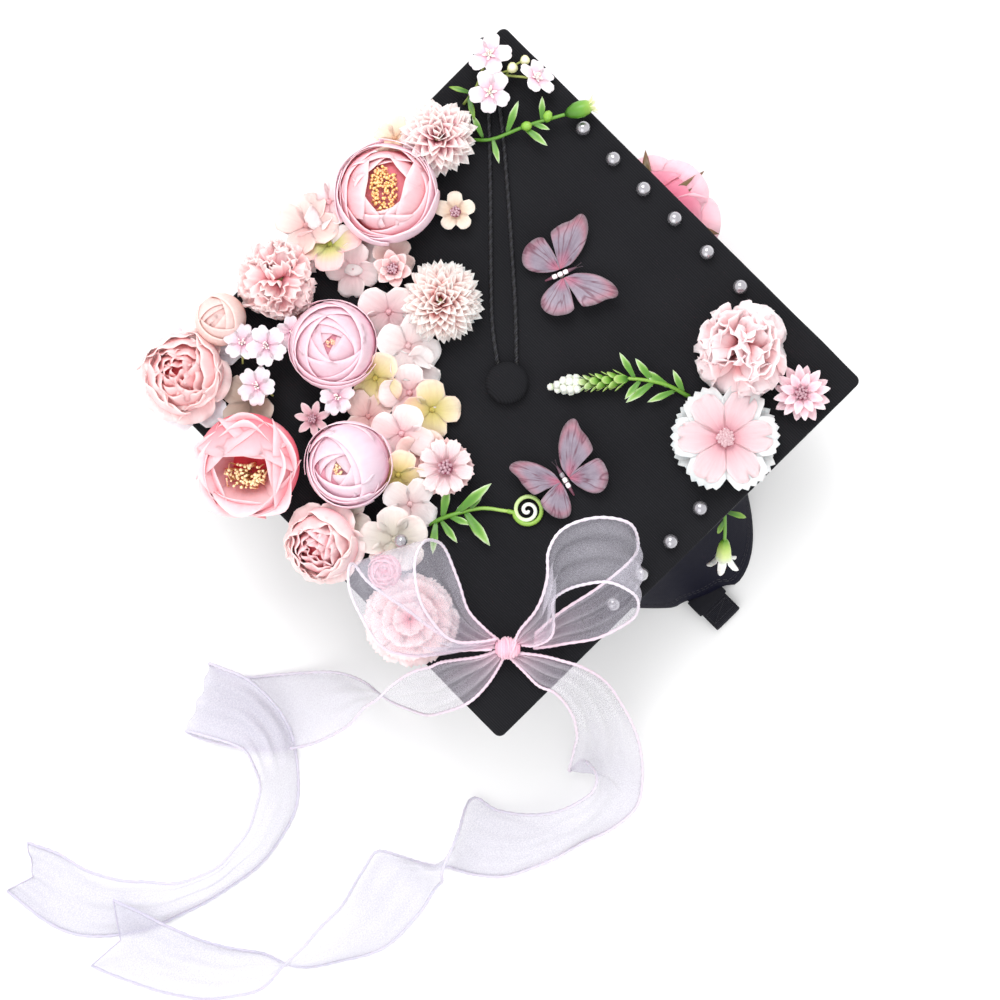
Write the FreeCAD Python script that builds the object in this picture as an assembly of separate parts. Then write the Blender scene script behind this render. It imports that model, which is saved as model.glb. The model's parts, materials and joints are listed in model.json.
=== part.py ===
import FreeCAD, Part
import math
import os

V = FreeCAD.Vector
os.makedirs("parts", exist_ok=True)

# Decorated graduation cap. Millimetres, +Z up, the cap standing on its rim on a table at z = 0.
# The origin is the point of the rim plane under the middle of the square board.
# The board's edges run along X and Y. The forehead side is -Y, the wearer's left is +X.

# Board: card core in a sewn fabric cover
BOARD_SIDE = 240.0
BOARD_THICK = 4.5
BOARD_UNDERSIDE = 78.0
BOARD_TOP = BOARD_UNDERSIDE + BOARD_THICK
BOARD_CORNER_R = 8.0
COVER_THICK = 0.7

# Skull cap: soft crown sewn under the board, its rear splayed out on the table
SKULL_WALL = 1.2
SKULL_CENTRE_Y = 12.0
SKULL_FLARE_DIRECTION = 110.0
SKULL_FLARE_SPREAD = 50.0
# height, half width, half depth, how far the rear is splayed past the oval
SKULL_LEVELS = [
    (0.0, 80.0, 98.0, 41.0),
    (12.0, 80.0, 99.0, 31.0),
    (35.0, 79.0, 98.0, 14.0),
    (60.0, 75.0, 93.0, 4.0),
    (BOARD_UNDERSIDE, 66.0, 82.0, 0.0),
]
HEADBAND_THICK = 1.5
HEADBAND_HEIGHT = 28.0
LINING_GAP = 0.1
CROWN_LINING_THICK = 1.1

# Rear size adjuster: webbing strap in a sewn keeper at the rim
STRAP_WIDTH = 16.0
STRAP_THICK = 3.2
STRAP_X = 2.5
STRAP_Z = 2.1
STRAP_Y_INNER = 112.0
STRAP_Y_OUTER = 158.5
KEEPER_GAP = 0.3
KEEPER_WALL = 0.8
KEEPER_Y_INNER = 138.0
KEEPER_LENGTH = 9.5

# Button and tassel
BUTTON_X = -1.0
BUTTON_Y = 3.1
BUTTON_R = 10.0
BUTTON_SHANK_R = 5.0
BUTTON_SHANK_H = 2.7
BUTTON_DOME_H = 4.2
CORD_D = 2.2
CORD_Z = BOARD_TOP + CORD_D / 2 + 0.05
HANGER_D = 3.0
TASSEL_X = -108.0
TASSEL_Y = -122.5
TASSEL_PIVOT_Z = 66.0
TASSEL_HEAD_R = 5.0
TASSEL_HEAD_BOTTOM = 54.0
TASSEL_SKIRT_R = 8.5
TASSEL_SKIRT_BOTTOM = 4.0
TASSEL_GAP = 0.3

# Ribbon: sheer 38 mm ribbon with corded edges
RIBBON_THICK = 0.6
KNOT_PLACE = (86.4, 92.8, 92.0)
KNOT_R = 5.2

# Butterflies: folded organza wings on a beaded body
WING_THICK = 0.5
WING_RISE = 18.0
WING_ROOT_GAP = 0.6
BODY_R = 1.5
BODY_LENGTH = 16.0
BODY_Z = BOARD_TOP + 2.6

PEARL_R = 3.5
DAB_H = 1.0
FOOT_Z = BOARD_TOP + DAB_H
# The solid body of a bloom is this share of its spread across the petal tips
BLOOM_FILL = 0.8


def save(name, *shapes):
    shape = shapes[0] if len(shapes) == 1 else Part.makeCompound(list(shapes))
    shape.exportStep("parts/" + name + ".step")


def rounded_plate(side, corner_r, z_low, z_high):
    half = side / 2
    flat = half - corner_r
    mid = corner_r * math.sqrt(0.5)
    edges = []
    for turn in range(4):
        spin = FreeCAD.Rotation(V(0, 0, 1), 90.0 * turn)
        start = spin.multVec(V(half, -flat, z_low))
        end = spin.multVec(V(half, flat, z_low))
        crest = spin.multVec(V(flat + mid, flat + mid, z_low))
        after = spin.multVec(V(flat, half, z_low))
        edges.append(Part.LineSegment(start, end).toShape())
        edges.append(Part.Arc(end, crest, after).toShape())
    return Part.Face(Part.Wire(edges)).extrude(V(0, 0, z_high - z_low))


def revolved(profile, centre=(0, 0, 0), axis=(0, 0, 1)):
    """Solid of revolution. The profile is (radius, height) points, smooth, closed along its axis."""
    points = [V(r, 0, h) for r, h in profile]
    curve = Part.BSplineCurve()
    curve.interpolate(points)
    foot = V(0, 0, profile[0][1])
    peak = V(0, 0, profile[-1][1])
    edges = [
        curve.toShape(),
        Part.LineSegment(points[-1], peak).toShape(),
        Part.LineSegment(peak, foot).toShape(),
        Part.LineSegment(foot, points[0]).toShape(),
    ]
    solid = Part.Face(Part.Wire(edges)).revolve(V(0, 0, 0), V(0, 0, 1), 360)
    turn = FreeCAD.Rotation(V(0, 0, 1), V(*axis))
    solid.Placement = FreeCAD.Placement(V(*centre), turn)
    return solid


def make_board():
    core_side = BOARD_SIDE - 2 * COVER_THICK
    core_low = BOARD_UNDERSIDE + COVER_THICK
    core_high = BOARD_TOP - COVER_THICK
    core = rounded_plate(core_side, BOARD_CORNER_R - COVER_THICK, core_low, core_high)
    top = rounded_plate(BOARD_SIDE, BOARD_CORNER_R, core_low, BOARD_TOP).cut(core)
    bottom = rounded_plate(BOARD_SIDE, BOARD_CORNER_R, BOARD_UNDERSIDE, core_low)
    save("board_core", core)
    save("board_top_cover", top)
    save("board_bottom_cover", bottom)


def skull_body(inset):
    """Solid bounded by the skull cap's outer surface moved inwards by inset."""
    wires = []
    steps = 36
    for z, half_width, half_depth, flare in SKULL_LEVELS:
        points = []
        for step in range(steps):
            angle = 360.0 * step / steps
            off = (angle - SKULL_FLARE_DIRECTION + 180.0) % 360.0 - 180.0
            splay = flare * math.exp(-((off / SKULL_FLARE_SPREAD) ** 2))
            x = (half_width - inset) * math.cos(math.radians(angle))
            y = (half_depth - inset + splay) * math.sin(math.radians(angle))
            points.append(V(x, SKULL_CENTRE_Y + y, z))
        curve = Part.BSplineCurve()
        curve.interpolate(points, PeriodicFlag=True)
        wires.append(Part.Wire([curve.toShape()]))
    return Part.makeLoft(wires, True, False)


def wedge(angle_from, angle_to, reach=260.0):
    """Upright prism that covers one sector around the skull cap's middle."""
    centre = V(0, SKULL_CENTRE_Y, -1)
    corners = [centre]
    for angle in (angle_from, (angle_from + angle_to) / 2, angle_to):
        a = math.radians(angle)
        corners.append(centre + V(math.cos(a), math.sin(a), 0) * reach)
    corners.append(centre)
    return Part.Face(Part.makePolygon(corners)).extrude(V(0, 0, BOARD_UNDERSIDE + 2))


def strap_window():
    width = STRAP_WIDTH + 2 * (KEEPER_GAP + KEEPER_WALL + LINING_GAP)
    height = STRAP_THICK + 2 * (KEEPER_GAP + KEEPER_WALL + LINING_GAP)
    low = STRAP_Z - KEEPER_GAP - KEEPER_WALL - LINING_GAP
    return Part.makeBox(width, 50, height, V(STRAP_X - width / 2, 115, low))


def make_skull_cap():
    outer = skull_body(0.0)
    inner = skull_body(SKULL_WALL)
    window = strap_window()
    shell = outer.cut(inner).cut(window)
    sectors = {
        "skull_panel_front": (225, 315),
        "skull_panel_left": (-45, 45),
        "skull_panel_rear": (45, 135),
        "skull_panel_right": (135, 225),
    }
    for name, (angle_from, angle_to) in sectors.items():
        save(name, shell.common(wedge(angle_from, angle_to)))
    band_outer = skull_body(SKULL_WALL + LINING_GAP)
    band_inner = skull_body(SKULL_WALL + LINING_GAP + HEADBAND_THICK)
    slab = Part.makeBox(300, 400, HEADBAND_HEIGHT, V(-150, -200, 0))
    save("headband", band_outer.cut(band_inner).common(slab).cut(window))
    lining = skull_body(SKULL_WALL + 1.5)
    low = BOARD_UNDERSIDE - CROWN_LINING_THICK
    save("crown_lining", lining.common(Part.makeBox(300, 400, CROWN_LINING_THICK, V(-150, -200, low))))


def make_adjuster():
    length = STRAP_Y_OUTER - STRAP_Y_INNER
    strap = Part.makeBox(STRAP_WIDTH, length, STRAP_THICK, V(STRAP_X - STRAP_WIDTH / 2, STRAP_Y_INNER, STRAP_Z))
    fold = [e for e in strap.Edges if e.BoundBox.YMin > STRAP_Y_OUTER - 0.01 and e.BoundBox.XLength > 1]
    strap = strap.makeFillet(STRAP_THICK * 0.45, fold)
    save("adjuster_strap", strap)
    wide = STRAP_WIDTH + 2 * KEEPER_GAP
    tall = STRAP_THICK + 2 * KEEPER_GAP
    sleeve = Part.makeBox(
        wide + 2 * KEEPER_WALL, KEEPER_LENGTH, tall + 2 * KEEPER_WALL,
        V(STRAP_X - wide / 2 - KEEPER_WALL, KEEPER_Y_INNER, STRAP_Z - KEEPER_GAP - KEEPER_WALL))
    channel = Part.makeBox(
        wide, KEEPER_LENGTH + 2, tall,
        V(STRAP_X - wide / 2, KEEPER_Y_INNER - 1, STRAP_Z - KEEPER_GAP))
    save("adjuster_keeper", sleeve.cut(channel))


def make_button():
    base = BOARD_TOP
    lip = base + BUTTON_SHANK_H
    shank = Part.makeCylinder(BUTTON_SHANK_R, BUTTON_SHANK_H, V(BUTTON_X, BUTTON_Y, base))
    dome = revolved([
        (BUTTON_R - 1.0, lip),
        (BUTTON_R, lip + 1.0),
        (BUTTON_R * 0.93, lip + 0.55 * BUTTON_DOME_H),
        (BUTTON_R * 0.6, lip + 0.9 * BUTTON_DOME_H),
        (BUTTON_R * 0.1, lip + BUTTON_DOME_H),
    ], (BUTTON_X, BUTTON_Y, 0))
    save("button", shank.fuse(dome).removeSplitter())


def cord_tube(name, points, diameter):
    """Straight runs joined by tangent arcs, each as large as its two runs allow."""
    points = [V(*p) for p in points]
    edges = []
    start = points[0]
    length = 0.0
    for before, corner, after in zip(points, points[1:], points[2:]):
        run_in = (corner - before).Length
        run_out = (after - corner).Length
        into = (corner - before).normalize()
        out = (after - corner).normalize()
        turn = into.getAngle(out)
        setback = 0.45 * min(run_in, run_out)
        radius = setback / math.tan(turn / 2)
        enter = corner - into * setback
        leave = corner + out * setback
        bisector = (out - into).normalize()
        centre = enter + (bisector - into * bisector.dot(into)).normalize() * radius
        middle = centre + (corner - centre).normalize() * radius
        edges.append(Part.LineSegment(start, enter).toShape())
        edges.append(Part.Arc(enter, middle, leave).toShape())
        start = leave
        print(name, "bend radius", round(radius, 1))
    edges.append(Part.LineSegment(start, points[-1]).toShape())
    path = Part.Wire(edges)
    ring = Part.Wire([Part.Circle(points[0], points[1] - points[0], diameter / 2).toShape()])
    solid = path.makePipeShell([ring], True, False)
    section = math.pi * diameter * diameter / 4
    print(name, "volume over section times length", round(solid.Volume / (section * path.Length), 3))
    return solid


# Each strand leaves the button's underside and crosses the board to the front edge
LEFT_STRAND = [
    (-2.0, -3.0, CORD_Z), (-12.0, -18.6, CORD_Z), (-33.0, -40.5, CORD_Z),
    (-62.0, -70.0, CORD_Z), (-89.0, -98.6, CORD_Z), (-106.8, -119.6, CORD_Z),
]
RIGHT_STRAND = [
    (-7.6, 2.4, CORD_Z), (-20.0, -9.6, CORD_Z), (-43.0, -35.6, CORD_Z),
    (-70.0, -67.0, CORD_Z), (-94.5, -97.0, CORD_Z), (-109.6, -119.0, CORD_Z),
]
HANGER_ROUTE = [
    (TASSEL_X, -121.6, 82.9), (TASSEL_X, TASSEL_Y, 78.6), (TASSEL_X, TASSEL_Y - 0.2, TASSEL_PIVOT_Z + 5.4),
]


def make_tassel():
    save("tassel_cord_left", cord_tube("left strand", LEFT_STRAND, CORD_D))
    save("tassel_cord_right", cord_tube("right strand", RIGHT_STRAND, CORD_D))
    save("tassel_hanger", cord_tube("hanger", HANGER_ROUTE, HANGER_D))
    place = (TASSEL_X, TASSEL_Y - 0.2, 0)
    ball = TASSEL_HEAD_R
    head = revolved([
        (ball * 1.15, TASSEL_HEAD_BOTTOM),
        (ball * 1.3, TASSEL_HEAD_BOTTOM + 3.0),
        (ball * 1.1, TASSEL_HEAD_BOTTOM + 7.0),
        (ball, TASSEL_PIVOT_Z),
        (ball * 0.71, TASSEL_PIVOT_Z + ball * 0.71),
        (ball * 0.1, TASSEL_PIVOT_Z + ball),
    ], place)
    skirt = revolved([
        (TASSEL_SKIRT_R, TASSEL_SKIRT_BOTTOM),
        (TASSEL_SKIRT_R * 0.97, TASSEL_SKIRT_BOTTOM + 18.0),
        (TASSEL_SKIRT_R * 0.85, TASSEL_SKIRT_BOTTOM + 38.0),
        (TASSEL_HEAD_R * 1.1, TASSEL_HEAD_BOTTOM),
    ], place)
    save("tassel_head", head)
    save("tassel_skirt", skirt)


# Ribbon routes: the two edges of the ribbon, station by station, from the knot outwards
LEFT_TAIL = [
    ((90, 94, 91), (91, 90, 91)), ((96, 96, 87), (99, 86, 92)), ((105, 98, 85), (107, 80, 93)),
    ((117, 98, 86), (114, 75, 93)), ((128, 94, 76), (120, 73, 91)), ((140, 86, 54), (130, 68, 84)),
    ((148, 75, 40), (139, 66, 75)), ((152, 63, 30), (148, 65, 67)), ((155, 51, 18), (158, 64, 53)),
    ((161, 40, 9), (174, 63, 35)), ((172, 29, 3), (190, 58, 20)), ((185, 18, 1), (208, 48, 5)),
    ((199, 6, 1), (222, 35, 2)), ((206, -6, 2), (236, 14, 2)), ((206, -11, 8), (238, 6, 8)),
    ((202, -4, 14), (232, 14, 14)), ((196, 11, 14), (223, 31, 16)), ((197, 33, 9), (222, 42, 25)),
    ((207, 54, 3), (226, 53, 36)), ((223, 70, 1), (236, 60, 34)), ((245, 78, 1), (253, 67, 33)),
    ((273, 79, 1), (272, 66, 32)), ((297, 73, 1), (290, 58, 29)), ((323, 63, 1), (307, 43, 22)),
    ((343, 50, 1), (322, 24, 10)), ((357, 31, 1), (330, 5, 2)), ((363, -2, 1), (338, -12, 2)),
]
RIGHT_TAIL = [
    ((86, 96, 90), (89, 96, 90)), ((79, 105, 91), (89, 105, 87)), ((73, 114, 90), (89, 115, 86)),
    ((68, 124, 84), (86, 123, 85)), ((66, 137, 66), (87, 133, 74)), ((70, 153, 40), (93, 143, 54)),
    ((77, 169, 18), (102, 150, 30)), ((89, 184, 3), (113, 156, 9)), ((102, 193, 1), (104, 157, 13)),
    ((119, 192, 1), (104, 166, 22)), ((134, 187, 1), (112, 171, 25)), ((152, 181, 1), (124, 169, 22)),
    ((172, 173, 1), (140, 160, 12)), ((184, 161, 1), (153, 145, 4)), ((190, 151, 1), (158, 132, 7)),
    ((192, 147, 1), (174, 140, 32)), ((198, 140, 2), (190, 147, 36)), ((205, 127, 3), (195, 150, 28)),
    ((211, 117, 5), (204, 151, 9)), ((223, 119, 10), (218, 154, 2)), ((240, 124, 24), (242, 154, 1)),
    ((261, 124, 32), (268, 142, 1)), ((277, 125, 37), (284, 128, 1)), ((297, 125, 33), (291, 111, 1)),
    ((318, 112, 26), (305, 92, 3)), ((339, 90, 12), (314, 69, 9)), ((358, 56, 2), (323, 41, 15)),
]
LEFT_LOOP = [
    ((87, 87, 90), (90, 89, 91)), ((88, 79, 90), (99, 78, 95)), ((87, 67, 90), (104, 66, 100)),
    ((81, 54, 92), (107, 46, 106)), ((75, 41, 98), (110, 27, 109)), ((74, 34, 106), (109, 16, 112)),
    ((78, 32, 119), (111, 16, 120)), ((87, 36, 126), (117, 23, 124)), ((96, 47, 125), (122, 34, 122)),
    ((101, 59, 117), (126, 51, 114)), ((102, 71, 107), (120, 64, 105)), ((95, 80, 99), (107, 75, 98)),
    ((87, 86, 94), (92, 88, 95)),
]
RIGHT_LOOP = [
    ((82, 93, 95), (81, 96, 93)), ((76, 91, 99), (76, 101, 96)), ((64, 90, 110), (67, 103, 100)),
    ((50, 84, 124), (57, 94, 102)), ((40, 75, 130), (50, 93, 107)), ((28, 73, 131), (41, 96, 111)),
    ((13, 81, 127), (31, 104, 115)), ((5, 92, 118), (27, 114, 112)), ((8, 100, 105), (28, 122, 101)),
    ((18, 104, 96), (36, 124, 92)), ((38, 102, 94), (53, 119, 88)), ((57, 98, 94), (68, 109, 88)),
    ((73, 97, 91), (78, 101, 88)),
]


def smooth_between(points, parts):
    """Points on a Catmull-Rom curve through the given points, parts to each span."""
    full = [points[0] * 2 - points[1]] + points + [points[-1] * 2 - points[-2]]
    result = []
    for a, b, c, d in zip(full, full[1:], full[2:], full[3:]):
        for part in range(parts):
            t = part / parts
            result.append(
                b * 2 * 0.5 + (c - a) * 0.5 * t
                + (a * 2 - b * 5 + c * 4 - d) * 0.5 * t * t
                + (b * 3 - a - c * 3 + d) * 0.5 * t * t * t)
    result.append(points[-1])
    return result


def ribbon(stations, parts=2):
    """Thin band lofted through its stations, RIBBON_THICK through."""
    first = smooth_between([V(*a) for a, b in stations], parts)
    second = smooth_between([V(*b) for a, b in stations], parts)
    middle = [(a + b) * 0.5 for a, b in zip(first, second)]
    wires = []
    for i, (a, b) in enumerate(zip(first, second)):
        ahead = middle[min(i + 1, len(middle) - 1)] - middle[max(i - 1, 0)]
        normal = ahead.cross(b - a).normalize() * (RIBBON_THICK / 2)
        wires.append(Part.makePolygon([a + normal, b + normal, b - normal, a - normal, a + normal]))
    return Part.makeLoft(wires, True, True)


def make_ribbons():
    save("bow_knot", revolved([
        (KNOT_R * 0.55, -KNOT_R), (KNOT_R * 0.95, -KNOT_R * 0.5), (KNOT_R, 0.0),
        (KNOT_R * 0.95, KNOT_R * 0.5), (KNOT_R * 0.55, KNOT_R),
    ], KNOT_PLACE, (1, 1, 0)))
    save("bow_loop_left", ribbon(LEFT_LOOP))
    save("bow_loop_right", ribbon(RIGHT_LOOP))
    save("ribbon_tail_left", ribbon(LEFT_TAIL))
    save("ribbon_tail_right", ribbon(RIGHT_TAIL))


# Half a butterfly in its own plane: forward along the body, outward from it
WING_OUTLINE = [
    (5.0, 0.0), (12.0, 4.5), (19.0, 13.0), (21.0, 20.5), (17.5, 23.0), (10.0, 21.5), (3.0, 18.5),
    (-2.0, 18.5), (-8.5, 16.5), (-13.0, 11.0), (-11.5, 5.0), (-5.0, 0.0),
]
# name, middle of the body, heading of the head in degrees from +X
BUTTERFLIES = [
    ("butterfly_upper", (-55.5, -15.7), 158.6),
    ("butterfly_lower", (12.0, 55.5), 256.0),
]


def wing(side):
    """One wing beside a body along +X, raised by WING_RISE; side is +1 for +Y, -1 for -Y."""
    points = [V(along, out * side, 0) for along, out in WING_OUTLINE]
    curve = Part.BSplineCurve()
    curve.interpolate(points)
    root = Part.LineSegment(points[-1], points[0])
    face = Part.Face(Part.Wire([curve.toShape(), root.toShape()]))
    solid = face.extrude(V(0, 0, WING_THICK))
    solid.rotate(V(0, 0, 0), V(1, 0, 0), WING_RISE * side)
    solid.translate(V(0, side * (BODY_R + WING_ROOT_GAP), 0))
    return solid


def make_butterflies():
    for name, (x, y), heading in BUTTERFLIES:
        place = FreeCAD.Placement(V(x, y, BODY_Z), FreeCAD.Rotation(V(0, 0, 1), heading))
        body = revolved([
            (BODY_R * 0.4, -BODY_LENGTH / 2), (BODY_R * 0.8, -BODY_LENGTH * 0.3), (BODY_R, 0.0),
            (BODY_R * 0.9, BODY_LENGTH * 0.3), (BODY_R * 0.5, BODY_LENGTH / 2),
        ], (0, 0, 0), (1, 0, 0))
        pin = Part.makeCylinder(1.2, BODY_Z - BOARD_TOP, V(0, 0, BOARD_TOP - BODY_Z))
        pieces = {
            "_body": body.fuse(pin),
            "_wing_left": wing(1),
            "_wing_right": wing(-1),
        }
        for part_name, shape in pieces.items():
            shape.Placement = place.multiply(shape.Placement)
            save(name + part_name, shape)


PEARLS = [
    (-111.8, -57.6), (-111.5, -37.0), (-111.5, -16.7), (-111.9, 3.8), (-111.4, 25.9), (-110.8, 48.6),
    (-23.9, 109.4), (-3.0, 110.8), (17.6, 112.0), (36.9, 112.5),
]


def make_pearls():
    pearls = []
    for x, y in PEARLS:
        ball = Part.makeSphere(PEARL_R, V(x, y, BOARD_TOP + PEARL_R - 0.4))
        above = Part.makeBox(4 * PEARL_R, 4 * PEARL_R, 4 * PEARL_R, V(x - 2 * PEARL_R, y - 2 * PEARL_R, BOARD_TOP))
        pearls.append(ball.common(above))
    save("pearls", *pearls)


# Blooms glued to the board: place of the foot, spread across the petal tips as a radius,
# height, and where one leans, by how many degrees and towards which heading
BLOOMS = {
    "dahlia_pink": [((-59.8, -102.3), 18.7, 24.0)],
    "ranunculus_open": [((-24.0, -100.4), 24.6, 26.0)],
    "blossom_peach": [((-40.8, -71.7), 9.4, 10.0)],
    "carnation_pink": [((41.9, -108.2), 19.6, 25.0)],
    "rosebud_cream": [((74.1, -114.0), 12.1, 22.0)],
    "rose_peach": [((105.2, -108.5), 22.4, 24.0)],
    "ranunculus_round": [((44.6, -67.1), 21.4, 25.0)],
    "chrysanthemum_cream": [((-6.0, -45.7), 20.1, 22.0)],
    "blossom_mauve": [((-0.6, -72.9), 10.3, 15.0)],
    "peony_open": [((108.0, -54.2), 27.0, 22.0, 12.0, 0.0)],
    "ranunculus_closed": [((78.4, -22.5), 20.4, 27.0)],
    "daisy_mauve": [((76.4, -49.5), 8.4, 12.0)],
    "daisy_dusty": [((47.7, 11.5), 12.6, 12.0)],
    "rose_pink": [((110.0, -3.3), 19.6, 23.0, 12.0, 0.0)],
    "rose_small": [((103.0, 26.0), 8.0, 12.0)],
    "carnation_fringed": [((110.0, 50.5), 21.5, 10.0)],
    "carnation_right": [((-89.8, 70.3), 23.3, 26.0)],
    "daisy_right": [((-95.1, 104.7), 13.1, 12.0)],
    "cosmos_right": [((-55.2, 94.5), 25.7, 14.0)],
    "cherry_blossoms": [
        ((78.2, -96.3), 7.4, 18.0), ((66.1, -89.6), 7.6, 19.0), ((55.0, -88.6), 5.5, 14.0),
        ((81.9, -77.2), 7.9, 15.0), ((60.7, -49.5), 6.6, 12.0),
    ],
    "hydrangea_upper": [
        ((12.0, -116.0), 9.5, 6.0), ((-4.0, -116.5), 8.0, 5.0), ((12.5, -99.5), 9.0, 7.0),
        ((0.5, -92.5), 7.0, 5.0), ((-44.7, -115.5), 6.6, 5.0), ((46.0, -91.5), 6.0, 5.0),
    ],
    "hydrangea_middle": [
        ((15.7, -64.0), 9.0, 8.0), ((20.0, -46.5), 9.0, 9.0), ((37.5, -42.5), 8.0, 7.0),
        ((34.5, -28.1), 8.0, 6.0),
    ],
    "hydrangea_lower": [
        ((57.5, -31.0), 7.5, 7.0), ((49.2, -15.8), 8.5, 9.0), ((34.1, -13.6), 7.5, 6.0),
        ((66.0, -3.4), 8.0, 8.0), ((69.0, 12.5), 8.0, 6.0),
    ],
    "hydrangea_grey": [((88.1, 18.3), 13.2, 8.0), ((94.0, -78.0), 8.0, 6.0)],
}
# Glued under the board's right edge, facing out and down
SIDE_ROSE_FOOT = (-101.0, -4.0, BOARD_UNDERSIDE)
SIDE_ROSE_AXIS = (-0.44, 0.0, -0.9)
SIDE_ROSE_SPREAD = 28.0
SIDE_ROSE_DEPTH = 36.0


def foot_radius(spread):
    return max(1.6, 0.26 * spread)


def bloom_profile(spread, height):
    r = spread * BLOOM_FILL
    foot = foot_radius(spread)
    return [
        (foot, 0.0), (foot + 0.45 * (r - foot), 0.22 * height), (0.93 * r, 0.46 * height),
        (r, 0.62 * height), (0.88 * r, 0.84 * height), (0.5 * r, 0.97 * height), (0.12 * r, height),
    ]


def bloom(place, spread, height, lean=0.0, heading=0.0):
    a = math.radians(lean)
    h = math.radians(heading)
    axis = (math.sin(a) * math.cos(h), math.sin(a) * math.sin(h), math.cos(a))
    rise = foot_radius(spread) * math.sin(a)
    return revolved(bloom_profile(spread, height), (place[0], place[1], FOOT_Z + rise), axis)


def make_blooms():
    dabs = []
    for name, heads in BLOOMS.items():
        save(name, *[bloom(*head) for head in heads])
        for place, spread, *rest in heads:
            r = foot_radius(spread)
            crest = 0.5 * r if rest[1:] else 0.9 * r
            dabs.append(Part.makeCone(r + 1.0, crest, DAB_H, V(place[0], place[1], BOARD_TOP)))
    save("glue_dabs", *dabs)


def make_side_rose():
    r = SIDE_ROSE_SPREAD * BLOOM_FILL
    depth = SIDE_ROSE_DEPTH
    rose = revolved([
        (4.0, -3.0), (4.5, 0.16 * depth), (8.0, 0.3 * depth), (0.8 * r, 0.48 * depth), (r, 0.7 * depth),
        (0.85 * r, 0.92 * depth), (0.3 * r, depth),
    ], SIDE_ROSE_FOOT, SIDE_ROSE_AXIS)
    below = Part.makeBox(200, 200, 100, V(-200, -100, BOARD_UNDERSIDE - 100))
    save("rose_side", rose.common(below))


def stem(points, radius):
    """Round stem along straight runs, with a ball at each inner corner."""
    points = [V(*p) for p in points]
    solid = None
    for a, b in zip(points, points[1:]):
        run = Part.makeCylinder(radius, (b - a).Length, a, b - a)
        solid = run if solid is None else solid.fuse(run)
    for corner in points[1:-1]:
        solid = solid.fuse(Part.makeSphere(radius, corner))
    return solid


def leaf(base, heading, length, width, thick=1.0):
    """Flat pointed leaf that starts at base and runs along heading."""
    tip = V(length, 0, 0)
    left = V(length * 0.5, width / 2, 0)
    right = V(length * 0.5, -width / 2, 0)
    edges = [Part.Arc(V(0, 0, 0), left, tip).toShape(), Part.Arc(tip, right, V(0, 0, 0)).toShape()]
    solid = Part.Face(Part.Wire(edges)).extrude(V(0, 0, thick))
    solid.Placement = FreeCAD.Placement(V(*base), FreeCAD.Rotation(V(0, 0, 1), heading))
    return solid


def spindle(start, end, r_start, r_middle, r_end):
    """Bud or spike: a round body that swells between its two ends."""
    axis = V(*end) - V(*start)
    length = axis.Length
    return revolved([
        (r_start, 0.0), (r_middle, 0.35 * length), (0.9 * r_middle, 0.65 * length), (r_end, length),
    ], start, (axis.x, axis.y, axis.z))


def fused(shapes):
    solid = shapes[0]
    for shape in shapes[1:]:
        solid = solid.fuse(shape)
    return solid


STEM_R = 0.9
SPRIG_Z = BOARD_TOP + 5.0


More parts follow.
